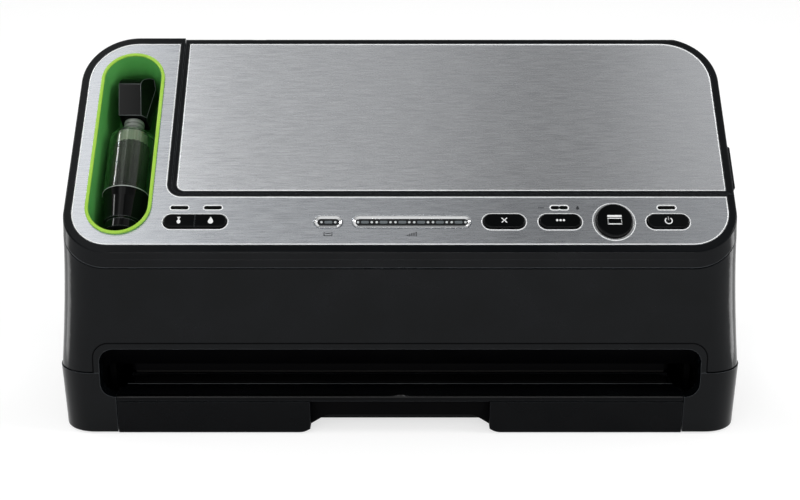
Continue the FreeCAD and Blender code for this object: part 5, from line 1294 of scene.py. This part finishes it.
@dataclass
class BagSlot(SubAssembly):
    """Throat, pull-out drip tray, sealing jaw and the cam drive that lowers it."""

    ledge_half: float = 176.8
    ledge_back: Span = (-98.9, 26.75)
    ledge_round: float = 0.4
    lip_y: float = -115.5
    lip_z: float = 24.8
    grip_half: float = 62.0
    grip_z: Span = (9.2, 21.7)
    grip_y: Span = (-118.2, -108.2)

    def in_grip(self, face: BMFace) -> bool:
        """Say whether a face of the tray is a wall of its finger recess.

        Args:
            face: the face.

        Returns:
            True where its middle lies in the recess.
        """
        x, y, z = face.calc_center_median() / MM
        deep = self.grip_y[0] < y < self.grip_y[1]
        return deep and abs(x) < self.grip_half and self.grip_z[0] < z < self.grip_z[1]

    def on_lip(self, face: BMFace) -> bool:
        """Say whether a face of the tray is part of its lip's rounding."""
        middle = face.calc_center_median() / MM
        return middle.y < self.lip_y and middle.z > self.lip_z and 0.15 < face.normal.z < 0.99

    def dress(self) -> None:
        """Give slot and clamp their finishes, polish the tray's lip, run a pale line along the ledge as a
        painted highlight and lay a dark matt skin in the recess as painted shade.
        """
        tray = "drip_tray"
        self.shop.paint(Surface.MATT_ABS, "slot_throat", "upper_jaw", "clamp_gear", "clamp_pinion")
        self.shop.paint(Surface.SATIN_ABS, tray)
        # A dark matt skin over the finger recess: painted shade
        recess_shade = self.shop.skin(tray, self.in_grip)
        self.shop.add("grip_recess_shade", recess_shade, Surface.MATT_ABS, "tray", "black_matte", smooth=False)
        lip = self.shop.skin(tray, self.on_lip)
        self.shop.add("lip_polish", lip, Surface.LIP_ABS, "tray", "black_gloss")
        # A pale line along the ledge's rear edge: painted highlight
        ends = [Vector((side * self.ledge_half, *self.ledge_back)) * MM for side in (-1, 1)]
        ledge_highlight = round_line("ledge_edge_highlight", [ends], self.ledge_round, closed=False)
        self.shop.add("ledge_edge_highlight", ledge_highlight, Surface.EDGE_HIGHLIGHT_ABS, "tray", "black_gloss")
        self.shop.paint(Surface.RUBBER, "counter_pad", "jaw_gasket")
        self.shop.paint(Surface.ANODISED, "heater_bar", "shaft_brackets")
        self.shop.paint(Surface.STEEL, "camshaft", "motor_mount")
        self.shop.paint(Surface.GLASS_TAPE, "heater_tape")
        self.shop.paint(Surface.ZINC, "clamp_motor")


@dataclass
class Works(SubAssembly):
    """Pump, tube and supply on the floor of the base."""

    tube_x: float = 150.0
    tube_z: float = 26.0
    tube_ends: Span = (-16.0, 45.5)
    tube_radii: Span = (2.6, 4.0)

    def dress(self) -> None:
        """Give the works their finishes and make the vacuum tube."""
        self.shop.paint(Surface.MATT_ABS, "vacuum_pump", "vacuum_manifold")
        self.shop.paint(Surface.ZINC, "pump_motor", "transformer")
        self.shop.paint(Surface.BOARD, "power_board")
        shape = turned(box_profile(self.tube_radii, self.tube_ends), 32)
        bmesh.ops.translate(shape, verts=shape.verts[:], vec=(self.tube_x * MM, 0.0, self.tube_z * MM))
        self.shop.add("vacuum_tube_wall", shape, Surface.HOSE_PVC, "housing", "hose_black", "vacuum_tube")


def main() -> None:
    """Build and dress the sealer, one sub-assembly after another; the workshop notes the CAD model's box."""
    logging.basicConfig(level=logging.INFO, format="%(message)s")
    shop = Workshop()
    panel = SlopingPanel()
    Studio().build(shop)
    groups = (HandheldSealer(shop, panel), HoseReel(shop), Shell(shop), SteelTop(shop, panel),
              RollCompartment(shop), ControlRow(shop, panel), BagSlot(shop), Works(shop))
    for group in groups:
        group.dress()


if __name__ == "__main__":
    main()
